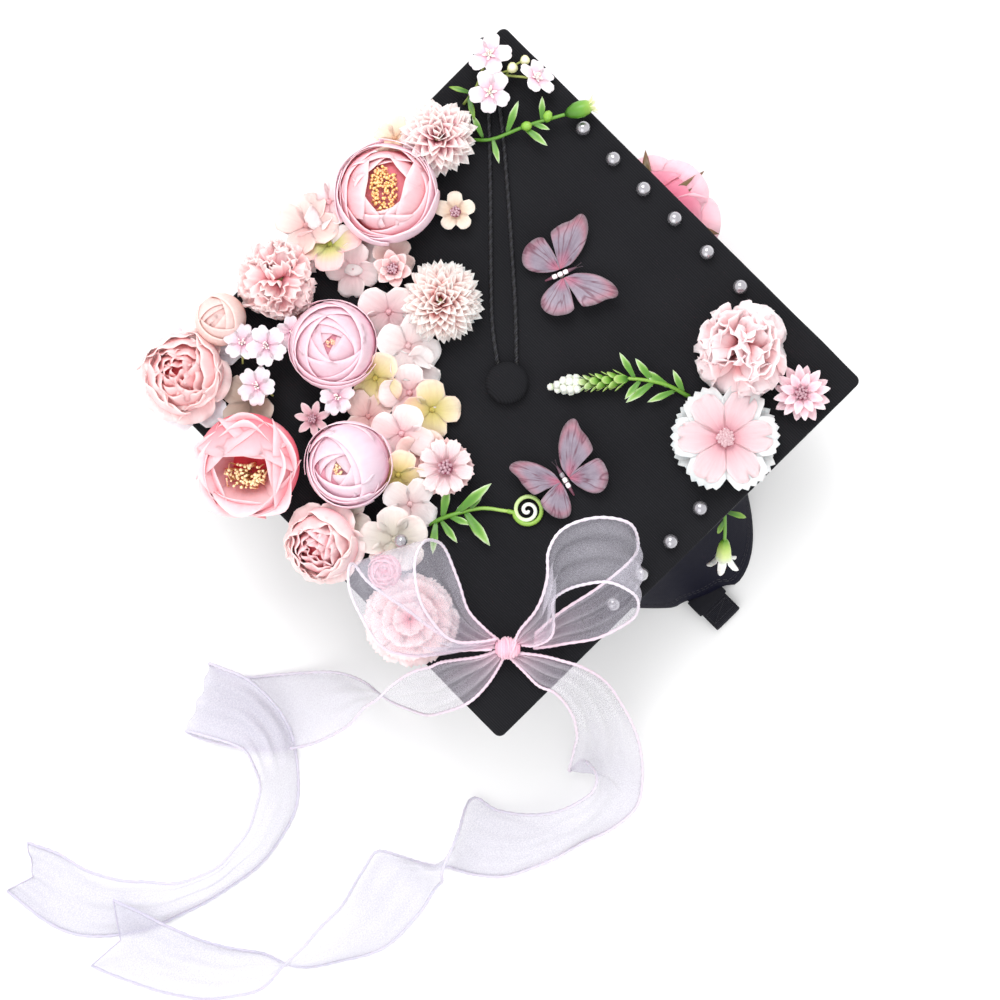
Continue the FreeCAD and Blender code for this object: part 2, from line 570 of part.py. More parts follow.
def make_sprigs():
    # Bud sprig over the tassel cords near the front corner
    save("sprig_buds", fused([
        stem([(-70.5, -92.0, BOARD_TOP + 1.2), (-78.0, -84.0, SPRIG_Z), (-94.0, -76.5, SPRIG_Z + 2),
              (-112.0, -66.0, SPRIG_Z + 4)], STEM_R),
        spindle((-110.0, -67.2, SPRIG_Z + 3.8), (-123.0, -60.4, SPRIG_Z + 5), 1.2, 4.0, 1.0),
        leaf((-92.0, -77.4, SPRIG_Z + 1.4), 100.0, 14.0, 6.0),
        leaf((-86.0, -80.2, SPRIG_Z + 0.8), 195.0, 15.0, 6.0),
        leaf((-100.0, -73.0, SPRIG_Z + 2.2), 215.0, 12.0, 5.0),
    ]))
    # White and pink blossoms on a forked stem at the front corner
    floret = [(1.3, 0.0), (3.6, 2.2), (7.0, 3.6), (7.5, 4.6), (4.0, 5.6), (0.6, 6.0)]
    places = [(-104.4, -113.6, SPRIG_Z + 3), (-92.1, -100.6, SPRIG_Z + 4), (-112.4, -89.7, SPRIG_Z + 2)]
    root = (-80.0, -106.5, BOARD_TOP + 1.2)
    fork = (-90.0, -107.5, SPRIG_Z)
    pieces = [stem([root, fork, (-97.0, -110.5, SPRIG_Z + 2), places[0]], STEM_R)]
    pieces.append(stem([fork, (-91.5, -103.0, SPRIG_Z + 2), places[1]], STEM_R))
    pieces.append(stem([(-97.0, -110.5, SPRIG_Z + 2), (-103.5, -101.0, SPRIG_Z + 1.5), places[2]], STEM_R))
    pieces += [revolved(floret, place) for place in places]
    save("sprig_blossoms", fused(pieces))
    # Leafy fern that ends in a flat spiral
    save("sprig_fern", fused([
        stem([(72.5, 24.5, BOARD_TOP + 1.2), (62.0, 29.0, SPRIG_Z), (49.6, 36.6, SPRIG_Z - 1),
              (40.0, 50.5, BOARD_TOP + 1.8)], STEM_R),
        Part.makeCylinder(6.6, 2.4, V(34.5, 52.8, BOARD_TOP + 0.6)),
        leaf((60.0, 30.2, SPRIG_Z - 0.6), 175.0, 22.0, 7.0),
        leaf((54.0, 34.0, SPRIG_Z - 0.9), 100.0, 20.0, 7.0),
        leaf((66.0, 27.2, SPRIG_Z - 1.2), 215.0, 16.0, 6.0),
    ]))
    # Lavender-like spike with leaves at its root
    save("sprig_spike", fused([
        stem([(-57.5, 68.5, BOARD_TOP + 1.2), (-53.0, 56.0, SPRIG_Z), (-42.0, 41.0, SPRIG_Z + 1)], STEM_R),
        spindle((-43.5, 43.0, SPRIG_Z + 1), (-15.5, 20.3, SPRIG_Z + 1), 1.6, 5.0, 2.0),
        leaf((-54.0, 59.0, SPRIG_Z - 1), 280.0, 16.0, 6.0),
        leaf((-55.0, 62.0, SPRIG_Z - 1.6), 335.0, 14.0, 5.0),
    ]))
    # Bell flower glued under the board's rear edge
    save("sprig_bell", fused([
        stem([(-37.0, 112.0, BOARD_UNDERSIDE - STEM_R - 0.1), (-30.5, 119.5, 74.0), (-21.5, 129.0, 60.0)], STEM_R),
        revolved([(1.4, 0.0), (3.4, 4.0), (4.4, 9.0), (7.4, 14.0), (2.0, 14.6)],
                 (-22.2, 128.3, 61.0), (0.52, 0.5, -0.72)),
    ]))


make_board()
make_skull_cap()
make_adjuster()
make_button()
make_tassel()
make_ribbons()
make_butterflies()
make_pearls()
make_blooms()
make_side_rose()
make_sprigs()
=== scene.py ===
import json
import math
import random

import bpy
from mathutils import Matrix, Vector, noise
from mathutils.bvhtree import BVHTree
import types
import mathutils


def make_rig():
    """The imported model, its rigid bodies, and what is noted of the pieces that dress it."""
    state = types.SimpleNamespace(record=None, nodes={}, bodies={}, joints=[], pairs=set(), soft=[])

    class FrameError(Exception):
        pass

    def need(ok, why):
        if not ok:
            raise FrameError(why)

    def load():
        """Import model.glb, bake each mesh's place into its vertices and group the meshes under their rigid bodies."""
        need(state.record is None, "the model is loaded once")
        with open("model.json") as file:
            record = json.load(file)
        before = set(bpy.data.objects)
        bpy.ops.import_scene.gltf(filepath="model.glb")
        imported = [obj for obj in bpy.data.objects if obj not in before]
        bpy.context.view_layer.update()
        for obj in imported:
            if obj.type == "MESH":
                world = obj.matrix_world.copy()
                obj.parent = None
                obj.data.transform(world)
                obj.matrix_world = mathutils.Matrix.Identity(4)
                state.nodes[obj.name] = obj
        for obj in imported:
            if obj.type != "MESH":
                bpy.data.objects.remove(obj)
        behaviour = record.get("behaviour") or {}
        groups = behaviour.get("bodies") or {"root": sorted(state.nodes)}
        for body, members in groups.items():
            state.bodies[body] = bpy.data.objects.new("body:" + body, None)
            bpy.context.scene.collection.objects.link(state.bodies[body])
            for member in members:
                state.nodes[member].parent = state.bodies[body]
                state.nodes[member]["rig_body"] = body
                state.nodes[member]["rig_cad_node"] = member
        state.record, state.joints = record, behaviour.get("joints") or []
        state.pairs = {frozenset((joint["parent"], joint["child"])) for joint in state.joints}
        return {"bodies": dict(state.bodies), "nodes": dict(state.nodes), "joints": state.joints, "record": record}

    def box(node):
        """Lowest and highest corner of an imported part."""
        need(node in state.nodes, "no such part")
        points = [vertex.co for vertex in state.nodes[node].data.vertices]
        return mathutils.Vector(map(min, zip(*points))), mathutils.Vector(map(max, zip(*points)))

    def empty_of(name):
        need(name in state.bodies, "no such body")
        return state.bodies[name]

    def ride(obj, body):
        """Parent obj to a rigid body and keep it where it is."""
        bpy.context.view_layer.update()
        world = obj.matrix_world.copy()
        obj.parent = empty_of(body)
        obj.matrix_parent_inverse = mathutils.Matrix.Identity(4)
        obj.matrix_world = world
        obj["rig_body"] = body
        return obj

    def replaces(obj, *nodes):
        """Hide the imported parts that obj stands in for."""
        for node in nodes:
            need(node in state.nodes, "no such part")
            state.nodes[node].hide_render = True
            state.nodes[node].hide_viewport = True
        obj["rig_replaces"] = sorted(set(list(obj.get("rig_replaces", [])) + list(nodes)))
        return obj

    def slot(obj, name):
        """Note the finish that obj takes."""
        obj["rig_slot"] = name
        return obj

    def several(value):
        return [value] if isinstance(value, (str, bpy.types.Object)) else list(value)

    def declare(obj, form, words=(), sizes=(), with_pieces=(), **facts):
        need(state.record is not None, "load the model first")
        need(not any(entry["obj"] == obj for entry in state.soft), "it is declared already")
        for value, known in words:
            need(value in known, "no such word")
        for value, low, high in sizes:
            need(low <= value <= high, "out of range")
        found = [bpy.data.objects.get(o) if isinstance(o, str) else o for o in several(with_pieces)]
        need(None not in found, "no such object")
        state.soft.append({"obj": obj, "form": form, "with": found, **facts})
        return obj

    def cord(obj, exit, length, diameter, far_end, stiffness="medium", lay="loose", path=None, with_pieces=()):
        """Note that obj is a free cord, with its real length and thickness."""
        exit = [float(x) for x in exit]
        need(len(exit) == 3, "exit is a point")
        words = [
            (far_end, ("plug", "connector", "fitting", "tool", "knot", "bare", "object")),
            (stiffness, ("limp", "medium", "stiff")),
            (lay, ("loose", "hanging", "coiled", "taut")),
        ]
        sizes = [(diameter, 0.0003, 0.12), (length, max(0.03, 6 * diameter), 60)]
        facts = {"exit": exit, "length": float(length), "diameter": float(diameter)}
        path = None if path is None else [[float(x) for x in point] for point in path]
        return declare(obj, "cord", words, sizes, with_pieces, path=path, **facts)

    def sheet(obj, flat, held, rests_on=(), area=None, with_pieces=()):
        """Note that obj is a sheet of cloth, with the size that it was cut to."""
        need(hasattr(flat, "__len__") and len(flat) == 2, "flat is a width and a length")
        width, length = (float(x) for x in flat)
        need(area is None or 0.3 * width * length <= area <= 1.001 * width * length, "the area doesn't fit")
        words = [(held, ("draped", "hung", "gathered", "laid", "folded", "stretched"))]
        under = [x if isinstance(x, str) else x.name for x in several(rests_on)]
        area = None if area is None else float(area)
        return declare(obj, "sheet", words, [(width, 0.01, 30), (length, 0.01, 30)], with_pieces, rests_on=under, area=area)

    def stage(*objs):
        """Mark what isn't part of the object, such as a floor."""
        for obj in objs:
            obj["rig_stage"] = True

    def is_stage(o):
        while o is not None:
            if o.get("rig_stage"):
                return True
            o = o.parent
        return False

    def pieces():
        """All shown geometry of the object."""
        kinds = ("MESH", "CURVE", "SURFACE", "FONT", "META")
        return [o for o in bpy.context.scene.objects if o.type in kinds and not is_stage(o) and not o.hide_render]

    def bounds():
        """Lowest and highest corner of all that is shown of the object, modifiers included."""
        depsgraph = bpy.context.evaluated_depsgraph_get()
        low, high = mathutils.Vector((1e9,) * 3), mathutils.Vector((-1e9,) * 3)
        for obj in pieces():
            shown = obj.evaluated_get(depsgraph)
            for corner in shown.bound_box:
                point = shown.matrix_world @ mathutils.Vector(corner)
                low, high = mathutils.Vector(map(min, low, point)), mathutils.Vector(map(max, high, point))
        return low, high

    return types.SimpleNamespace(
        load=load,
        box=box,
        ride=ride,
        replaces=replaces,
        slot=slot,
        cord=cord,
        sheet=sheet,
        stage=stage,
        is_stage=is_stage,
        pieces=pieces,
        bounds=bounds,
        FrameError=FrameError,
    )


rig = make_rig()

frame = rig.load()
CAD_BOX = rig.bounds()
NODES = frame["nodes"]
TAU = 2 * math.pi
GOLDEN = 2.39996
GOLDEN_DEGREES = 137.5

# a bloom's materials in order: petals, stems and leaves, glass knobs
PETALS, STEMS, KNOBS = range(3)


# ---------------------------------------------------------------- colours and node helpers

def rgb(r, g, b):
    """Linear colour from ordinary 0-255 values."""
    return tuple((c / 255 / 12.92) if c <= 10 else ((c / 255 + 0.055) / 1.055) ** 2.4 for c in (r, g, b))


def tones(codes):
    """Linear colours from a row of hex codes."""
    return [rgb(*bytes.fromhex(code)) for code in codes.split()]


def mix(a, b, t):
    """Colour or vector between a and b, at t held in 0..1."""
    t = max(0.0, min(1.0, t))
    return tuple(x + (y - x) * t for x, y in zip(a, b))


def ramp(colours, t):
    """Colour at t in 0..1 along evenly spaced colours."""
    t = max(0.0, min(0.9999, t)) * (len(colours) - 1)
    return mix(colours[int(t)], colours[int(t) + 1], t - int(t))


def smooth(low, high, x):
    """0 below low, 1 above high, and a smooth step between."""
    t = max(0.0, min(1.0, (x - low) / (high - low)))
    return t * t * (3 - 2 * t)


class Shader:
    """One material on a Principled shader. Colour, roughness and normal come from procedural nodes."""

    def __init__(self, name, **settings):
        self.material = bpy.data.materials.new(name)
        self.material.use_nodes = True
        self.tree = self.material.node_tree
        self.bsdf = self.tree.nodes["Principled BSDF"]
        self.heights = []
        for key, value in settings.items():
            self.bsdf.inputs[key.replace("_", " ")].default_value = value

    def add(self, kind, inputs=None, **props):
        node = self.tree.nodes.new("ShaderNode" + kind)
        for key, value in props.items():
            setattr(node, key, value)
        for key, value in (inputs or {}).items():
            if isinstance(value, bpy.types.NodeSocket):
                self.tree.links.new(value, node.inputs[key])
            else:
                node.inputs[key].default_value = value
        return node

    def place(self):
        return self.add("TexCoord").outputs["Object"]

    def attribute(self, name, output="Color"):
        return self.add("Attribute", attribute_name=name).outputs[output]

    def scaled(self, vector, scale, turn=(0, 0, 0)):
        return self.add("Mapping", {"Vector": vector, "Scale": scale, "Rotation": turn}).outputs["Vector"]

    def noise(self, vector, scale, detail=3.0, rough=0.55):
        return self.add("TexNoise", {"Vector": vector, "Scale": scale, "Detail": detail,
                                     "Roughness": rough}).outputs["Fac"]

    def wave(self, vector, scale, distortion=0.0, direction="X"):
        node = self.add("TexWave", {"Vector": vector, "Scale": scale, "Distortion": distortion,
                                    "Detail": 1.0}, wave_type="BANDS", bands_direction=direction,
                        wave_profile="SIN")
        return node.outputs["Fac"]

    def math(self, operation, a, b=0.0):
        return self.add("Math", {0: a, 1: b}, operation=operation).outputs[0]

    def span(self, value, low, high):
        """value in 0..1 carried to low..high."""
        return self.add("MapRange", {"Value": value, "To Min": low, "To Max": high}).outputs["Result"]

    def blend(self, fac, a, b, how="MIX"):
        node = self.add("Mix", {"Factor": fac}, data_type="RGBA", blend_type=how, clamp_result=True)
        for socket, value in ((node.inputs[6], a), (node.inputs[7], b)):
            if isinstance(value, bpy.types.NodeSocket):
                self.tree.links.new(value, socket)
            else:
                socket.default_value = (*value, 1.0)
        return node.outputs[2]

    def set(self, key, socket):
        self.tree.links.new(socket, self.bsdf.inputs[key])

    def bump(self, height, strength, distance):
        before = self.heights[-1] if self.heights else None
        inputs = {"Height": height, "Strength": strength, "Distance": distance}
        if before is not None:
            inputs["Normal"] = before
        self.heights.append(self.add("Bump", inputs).outputs["Normal"])
        self.set("Normal", self.heights[-1])


# ---------------------------------------------------------------- materials

def petal_shader(name, veins=9.0, sheen=0.08, soft=0.5):
    """Pressed cloth petal: painted tint, fine veins that run out from the root, woven ground."""
    s = Shader(name, Roughness=0.72, Sheen_Weight=sheen, Sheen_Roughness=0.5, Subsurface_Weight=soft,
               Subsurface_Scale=0.0022, Specular_IOR_Level=0.25)
    s.bsdf.inputs["Subsurface Radius"].default_value = (1.0, 0.75, 0.7)
    tint = s.add("Gamma", {"Color": s.attribute("tint"), "Gamma": 1.2}).outputs["Color"]
    along = s.attribute("petal", "Vector")
    streak = s.noise(s.scaled(along, (veins, 1.3, 1.0)), 1.0, 3.0, 0.6)
    blotch = s.noise(s.place(), 160.0, 2.0)
    weave = s.noise(s.place(), 2600.0, 2.0)
    shade = s.math("MULTIPLY", s.span(streak, 0.9, 1.1), s.span(blotch, 0.97, 1.04))
    grey = s.add("CombineColor", {"Red": shade, "Green": s.math("POWER", shade, 1.5),
                                  "Blue": s.math("POWER", shade, 1.4)})
    s.set("Base Color", s.blend(1.0, tint, grey.outputs[0], "MULTIPLY"))
    s.set("Roughness", s.span(weave, 0.62, 0.86))
    s.bump(streak, 0.5, 0.0006)
    s.bump(weave, 0.25, 0.00025)
    return s.material


def plastic_shader(name, low, high, soft):
    """Moulded piece painted by its tint, with faint mould flow."""
    s = Shader(name, Roughness=low, Subsurface_Weight=soft, Subsurface_Scale=0.001)
    flow = s.noise(s.place(), 420.0, 3.0)
    s.set("Base Color", s.blend(s.span(flow, 0.0, 0.22), s.attribute("tint"), rgb(60, 80, 20), "MULTIPLY"))
    s.set("Roughness", s.span(flow, low, high))
    s.bump(flow, 0.3, 0.0004)
    return s.material


def twill_shader(name, ground, thread, pitch, sheen):
    """Fine diagonal twill over a slightly uneven black ground."""
    rough = 0.86
    s = Shader(name, Roughness=rough, Sheen_Weight=sheen, Sheen_Roughness=0.45, Specular_IOR_Level=0.1)
    s.bsdf.inputs["Sheen Tint"].default_value = (*rgb(150, 152, 170), 1)
    turned = s.scaled(s.place(), (1, 1, 1), (0.0, 0.5, 0.0))
    rib = s.wave(turned, 0.314 / pitch, 0.5)
    cross = s.wave(s.scaled(s.place(), (1, 1, 1), (0.0, 0.5, 1.1)), 0.5 / pitch, 0.8)
    cloud = s.noise(s.place(), 26.0, 4.0)
    lint = s.noise(s.place(), 900.0, 2.0)
    weave = s.math("MULTIPLY", rib, s.span(cross, 0.55, 1.0))
    colour = s.blend(weave, ground, thread)
    colour = s.blend(s.span(cloud, 0.0, 0.3), colour, mix(thread, (1, 1, 1), 0.02))
    s.set("Base Color", s.blend(s.span(lint, 0.0, 0.12), colour, rgb(43, 43, 49)))
    s.set("Roughness", s.span(cloud, rough - 0.08, rough + 0.06))
    s.bump(weave, 0.55, 0.0003)
    s.bump(lint, 0.2, 0.0002)
    return s.material


def cloth_shader(name, ground, light, sheen, rough):
    """Smooth lining or satin cloth with a fine plain weave."""
    s = Shader(name, Roughness=rough, Sheen_Weight=sheen, Sheen_Roughness=0.35, Specular_IOR_Level=0.08)
    s.bsdf.inputs["Sheen Tint"].default_value = (*rgb(120, 126, 165), 1)
    warp = s.wave(s.scaled(s.place(), (1, 1, 0.4)), 450.0, 1.0)
    weft = s.wave(s.place(), 450.0, 1.0, "Z")
    cloud = s.noise(s.place(), 38.0, 4.0)
    weave = s.math("ADD", s.math("MULTIPLY", warp, 0.5), s.math("MULTIPLY", weft, 0.5))
    colour = s.blend(s.math("MULTIPLY", weave, 0.6), ground, light)
    s.set("Base Color", s.blend(s.span(cloud, 0.0, 0.4), colour, light))
    s.set("Roughness", s.span(cloud, rough - 0.06, rough + 0.08))
    s.bump(weave, 0.35, 0.0002)
    s.bump(cloud, 0.25, 0.0015)
    return s.material


def thread_shader(name, ground, light, rough):
    """Twisted thread: the twist itself is modelled, and this adds its fibres."""
    s = Shader(name, Roughness=rough, Sheen_Weight=0.03, Sheen_Roughness=0.4, Specular_IOR_Level=0.4)
    fibre = s.noise(s.scaled(s.place(), (1, 1, 0.3)), 1200.0, 3.0)
    s.set("Base Color", s.blend(fibre, ground, light))
    s.set("Roughness", s.span(fibre, rough - 0.1, rough + 0.15))
    s.bump(fibre, 0.5, 0.0003)
    return s.material


def webbing_shader(name):
    """Ribbed black webbing."""
    s = Shader(name, Roughness=0.75, Sheen_Weight=0.06, Specular_IOR_Level=0.2)
    rib = s.wave(s.place(), 420.0, 0.3, "Y")
    fine = s.noise(s.place(), 1400.0, 2.0)
    s.set("Base Color", s.blend(rib, rgb(14, 14, 20), rgb(36, 36, 46)))
    s.set("Roughness", s.span(fine, 0.65, 0.85))
    s.bump(rib, 0.8, 0.0005)
    s.bump(fine, 0.3, 0.0003)
    return s.material


def organza_shader(name, low, high):
    """Sheer ribbon: a film that lets through what is behind it, with a fine crossed weave."""
    s = Shader(name, Roughness=0.34, Sheen_Weight=0.25, Sheen_Roughness=0.3, Specular_IOR_Level=0.5)
    along = s.attribute("petal", "Vector")
    warp = s.wave(along, 18.0, 0.3, "X")
    weft = s.wave(along, 300.0, 0.3, "Y")
    cloud = s.noise(s.scaled(along, (2.0, 14.0, 0.0)), 1.0, 2.0)
    grain = s.noise(s.place(), 1500.0, 2.0, 0.7)
    mesh = s.math("ADD", s.math("MULTIPLY", warp, 0.5), s.math("MULTIPLY", weft, 0.5))
    uneven = s.math("ADD", s.math("MULTIPLY", cloud, 0.35), s.math("MULTIPLY", grain, 0.45))
    body = s.math("ADD", s.math("MULTIPLY", mesh, 0.2), uneven)
    close = s.add("SeparateXYZ", {"Vector": along}).outputs["Z"]
    s.set("Base Color", s.blend(s.span(grain, 0.0, 0.6), s.attribute("tint"), (0.95, 0.94, 0.98)))
    s.set("Alpha", s.math("ADD", s.span(body, low, high), s.math("MULTIPLY", close, 0.4)))
    s.bump(mesh, 0.25, 0.0002)
    s.bump(grain, 0.4, 0.0004)
    return s.material


def wing_shader(name):
    """Printed organza wing: painted tint with dark veins fanned out from the root and pale streaks."""
    s = Shader(name, Roughness=0.5, Sheen_Weight=0.3, Specular_IOR_Level=0.3, Alpha=0.93)
    along = s.attribute("petal", "Vector")
    tint = s.attribute("tint")
    fan = s.noise(s.scaled(along, (16.0, 1.6, 1.0)), 1.0, 4.0, 0.7)
    vein = s.add("ValToRGB", {"Fac": s.noise(s.scaled(along, (7.0, 0.8, 1.0)), 1.0, 2.0)}).outputs["Color"]
    line = s.tree.nodes[-1].color_ramp
    line.elements[0].position, line.elements[1].position = 0.47, 0.55
    line.elements[0].color = (1, 1, 1, 1)
    mid = line.elements.new(0.51)
    mid.color = (0, 0, 0, 1)
    line.elements[-1].color = (1, 1, 1, 1)
    mottle = s.noise(s.place(), 210.0, 4.0, 0.7)
    pale = s.math("MULTIPLY", s.span(fan, 0.0, 0.9), s.span(mottle, 0.1, 0.9))
    colour = s.blend(pale, tint, rgb(206, 198, 210))
    colour = s.blend(s.math("MULTIPLY", s.math("SUBTRACT", 1.0, vein), 0.75), colour, rgb(96, 40, 62))
    s.set("Base Color", colour)
    s.bump(fan, 0.3, 0.0004)
    return s.material


def pearl_shader(name):
    """Silvery pearl lacquer."""
    s = Shader(name, Roughness=0.16, Coat_Weight=0.8, Coat_Roughness=0.06, Specular_IOR_Level=0.6,
               Metallic=0.75)
    cloud = s.noise(s.place(), 300.0, 2.0)
    s.set("Base Color", s.blend(cloud, rgb(190, 189, 192), rgb(150, 147, 156)))
    return s.material


def bead_shader(name):
    """Clear lacquered bead in its painted tint."""
    s = Shader(name, Roughness=0.12, Coat_Weight=1.0, Coat_Roughness=0.05, Specular_IOR_Level=0.7)
    cloud = s.noise(s.place(), 900.0, 2.0)
    s.set("Base Color", s.blend(s.span(cloud, 0.0, 0.35), s.attribute("tint"), rgb(250, 240, 245)))
    return s.material


def plain_shader(name, ground, light, rough, scale):
    """Card or glue: two tints mixed by a cloudy noise."""
    s = Shader(name, Roughness=rough)
    cloud = s.noise(s.place(), scale, 4.0)
    s.set("Base Color", s.blend(cloud, ground, light))
    s.set("Roughness", s.span(cloud, rough - 0.08, rough + 0.12))
    s.bump(cloud, 0.3, 0.0004)
    return s.material


PETAL = petal_shader("petal_cloth")
SILK = petal_shader("petal_silk", veins=5.0, sheen=0.2, soft=0.4)
GREEN = plastic_shader("sprig_plastic", 0.3, 0.48, soft=0.06)
BEAD = bead_shader("bead_glass")
TWILL = twill_shader("board_twill", rgb(11, 11, 13), rgb(29, 29, 33), 0.00095, 0.02)
SKULL = cloth_shader("skull_satin", rgb(7, 7, 18), rgb(18, 18, 36), 0.02, 0.5)
LINING = cloth_shader("lining_cloth", rgb(22, 22, 26), rgb(40, 40, 46), 0.1, 0.8)
THREAD = thread_shader("cord_rayon", rgb(2, 2, 3), rgb(26, 26, 30), 0.3)
# lighter thread for the real stitches, and for the first strand of each twisted cord, where it is a painted highlight
STITCH_AND_HIGHLIGHT = thread_shader("stitch_and_highlight_thread", rgb(24, 24, 28), rgb(52, 52, 60), 0.5)
WEBBING = webbing_shader("webbing_rib")
ORGANZA = organza_shader("organza_film", 0.1, 0.5)
EDGING = plastic_shader("ribbon_cord", 0.5, 0.66, soft=0.05)
KNOT = petal_shader("knot_organza", veins=22.0, sheen=0.3, soft=0.2)
WING = wing_shader("wing_print")
PEARL = pearl_shader("pearl_finish")
CARD = plain_shader("grey_card", rgb(150, 140, 120), rgb(176, 166, 146), 0.85, 600.0)
GLUE = plain_shader("hot_glue", rgb(214, 208, 196), rgb(232, 228, 218), 0.28, 200.0)


# ---------------------------------------------------------------- mesh building

def spot(x, y, z, lean=0.0, heading=0.0, spin=0.0):
    """Matrix from a part's own millimetres, with its foot at x, y, z, to the scene's metres."""
    h = math.radians(heading)
    tip = Matrix.Rotation(math.radians(lean), 4, Vector((-math.sin(h), math.cos(h), 0)))
    turn = Matrix.Rotation(math.radians(spin), 4, "Z")
    return Matrix.Translation(Vector((x, y, z)) * 0.001) @ tip @ turn @ Matrix.Scale(0.001, 4)


def along_axis(point, axis, spin=0.0):
    """As spot, with the part's own Z along axis."""
    turn = Vector(axis).normalized().to_track_quat("Z", "Y").to_matrix().to_4x4()
    return (Matrix.Translation(Vector(point) * 0.001) @ turn
            @ Matrix.Rotation(math.radians(spin), 4, "Z") @ Matrix.Scale(0.001, 4))


SOLID_SHARE = 0.8


def box_mm(node):
    """Low and high corners of a CAD node's box in millimetres."""
    return tuple(corner * 1000 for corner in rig.box(node))


def head(node, spin, lean, heading):
    """Matrix at the foot of a bloom's CAD solid, with its spread and height in millimetres."""
    low, high = box_mm(node)
    middle = (low + high) / 2
    spread = (high.x - low.x + high.y - low.y) / 4 / SOLID_SHARE
    return spot(middle.x, middle.y, low.z, lean, heading, spin), spread, high.z - low.z


def put_in_scene(name, data):
    """New object with this mesh, curve, light or camera."""
    item = bpy.data.objects.new(name, data)
    bpy.context.scene.collection.objects.link(item)
    return item


def along_path(points):
    """Unit tangent at each point of a path."""
    return [(b - a).normalized() for a, b in zip([points[0]] + points[:-1], points[1:] + [points[-1]])]


class Piece:
    """Gathers sheets and tubes into one mesh with a painted tint and petal coordinates."""

    def __init__(self, seed=1):
        self.points, self.faces, self.tints, self.petals, self.kinds = [], [], [], [], []
        self.kind = PETALS
        self.rnd = random.Random(seed)

    def grid(self, nu, nv, at, closed=False):
        """Sheet over u and v in 0..1, where at gives (point, tint) and the sheet may close round in v."""
        base = len(self.points)
        cols = nv if closed else nv + 1
        seed = self.rnd.random() * 60
        for i in range(nu + 1):
            for j in range(cols):
                u, v = i / nu, j / nv
                point, tint = at(u, v)
                self.points.append(point)
                self.tints.append(tint)
                self.petals.append((v, u, seed))
        for i in range(nu):
            for j in range(nv):
                a = base + i * cols + j
                b = base + i * cols + (j + 1) % cols
                self.faces.append((a, b, b + cols, a + cols))
                self.kinds.append(self.kind)

    def finish(self, name, materials, body, replaces, slot, thick=0.0):
        """Makes the object. It rides on body and stands for the CAD nodes in replaces; thick is in mm."""
        mesh = bpy.data.meshes.new(name)
        mesh.from_pydata(self.points, [], self.faces)
        paint = mesh.attributes.new("tint", "FLOAT_COLOR", "POINT")
        paint.data.foreach_set("color", [c for t in self.tints for c in (*t, 1.0)])
        place = mesh.attributes.new("petal", "FLOAT_VECTOR", "POINT")
        place.data.foreach_set("vector", [c for p in self.petals for c in p])
        mesh.polygons.foreach_set("material_index", self.kinds)
        mesh.polygons.foreach_set("use_smooth", [True] * len(self.faces))
        for material in materials:
            mesh.materials.append(material)
        mesh.validate()
        piece = put_in_scene(name, mesh)
        if thick:
            shell = piece.modifiers.new("thickness", "SOLIDIFY")
            shell.thickness = thick * 0.001
            shell.offset = 0.0
        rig.ride(piece, body)
        if replaces:
            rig.replaces(piece, *replaces)
        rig.slot(piece, slot)
        return piece


def petal(piece, M, angle, length, width, rise, curl, tints, root=0.4, lift=0.0, cup=0.0, fold=0.0, base=0.35,
          side=0.55, power=2.2, notch=0.0, teeth=0.0, count=5, wave=0.0, waves=3.0, nu=6, nv=8):
    """Open petal that leaves the axis at angle, rising at rise degrees and bending down by curl."""
    turn = Matrix.Rotation(math.radians(angle), 4, "Z")
    phase = piece.rnd.random() * TAU
    start, bend = math.radians(rise), math.radians(curl) or 1e-4

    def at(u, v):
        v = 2 * v - 1
        round_off = max(0.0, 1 - abs(v) ** power) ** (1 / power)
        reach = side + (1 - side) * round_off
        s = u * (reach - notch * math.exp(-((v / 0.22) ** 2)) * u ** 4
                 + teeth * u ** 5 * math.cos(count * math.pi * v))
        x = length * (math.sin(start) - math.sin(start - bend * s)) / bend
        z = length * (math.cos(start - bend * s) - math.cos(start)) / bend
        half = width / 2 * (base + (1 - base) * math.sin(math.pi / 2 * min(1.0, s / 0.7)))
        off = half * (cup * v * v + fold * abs(v)) * s + wave * u ** 3 * math.sin(waves * math.pi * v + phase)
        tilt = start - bend * s
        point = turn @ Vector((root + x - off * math.sin(tilt), v * half, lift + z + off * math.cos(tilt)))
        return M @ point, ramp(tints, u * (0.93 + 0.07 * abs(v)))

    piece.grid(nu, nv, at)


def wrap(piece, M, angle, radius, low, high, tints, lip, wave, waves, roll):
    """Petal wrapped round the axis like one leaf of a rose: its surface is part of a nested bowl."""
    spread, belly, tuck, drop = 58.0, 0.55, 0.05, 0.3
    phase = piece.rnd.random() * TAU

    def at(u, v):
        v = 2 * v - 1
        level = u * (1 - drop * abs(v) ** 2.6)
        a = math.radians(angle + v * spread * (0.45 + 0.55 * math.sin(math.pi / 2 * min(1.0, level / 0.5))))
        if level < belly:
            r = radius * (0.25 + 0.75 * math.sin(math.pi / 2 * level / belly))
        else:
            r = radius * (1 - (1 - lip) * ((level - belly) / (1 - belly)) ** 1.6)
        ripple = u * u * math.sin(waves * math.pi * v + phase)
        swell = 0.6 * wave * u * u * math.cos(waves * math.pi * v + phase)
        r = r * (1 + tuck * v + roll * smooth(0.8, 1.0, u)) + swell
        z = low + (high - low) * level ** 0.9 + wave * ripple - roll * radius * 0.4 * smooth(0.86, 1.0, u)
        return M @ Vector((r * math.cos(a), r * math.sin(a), z)), ramp(tints, u)

    piece.grid(8, 12, at)


SHELL_FOOT = 104.0


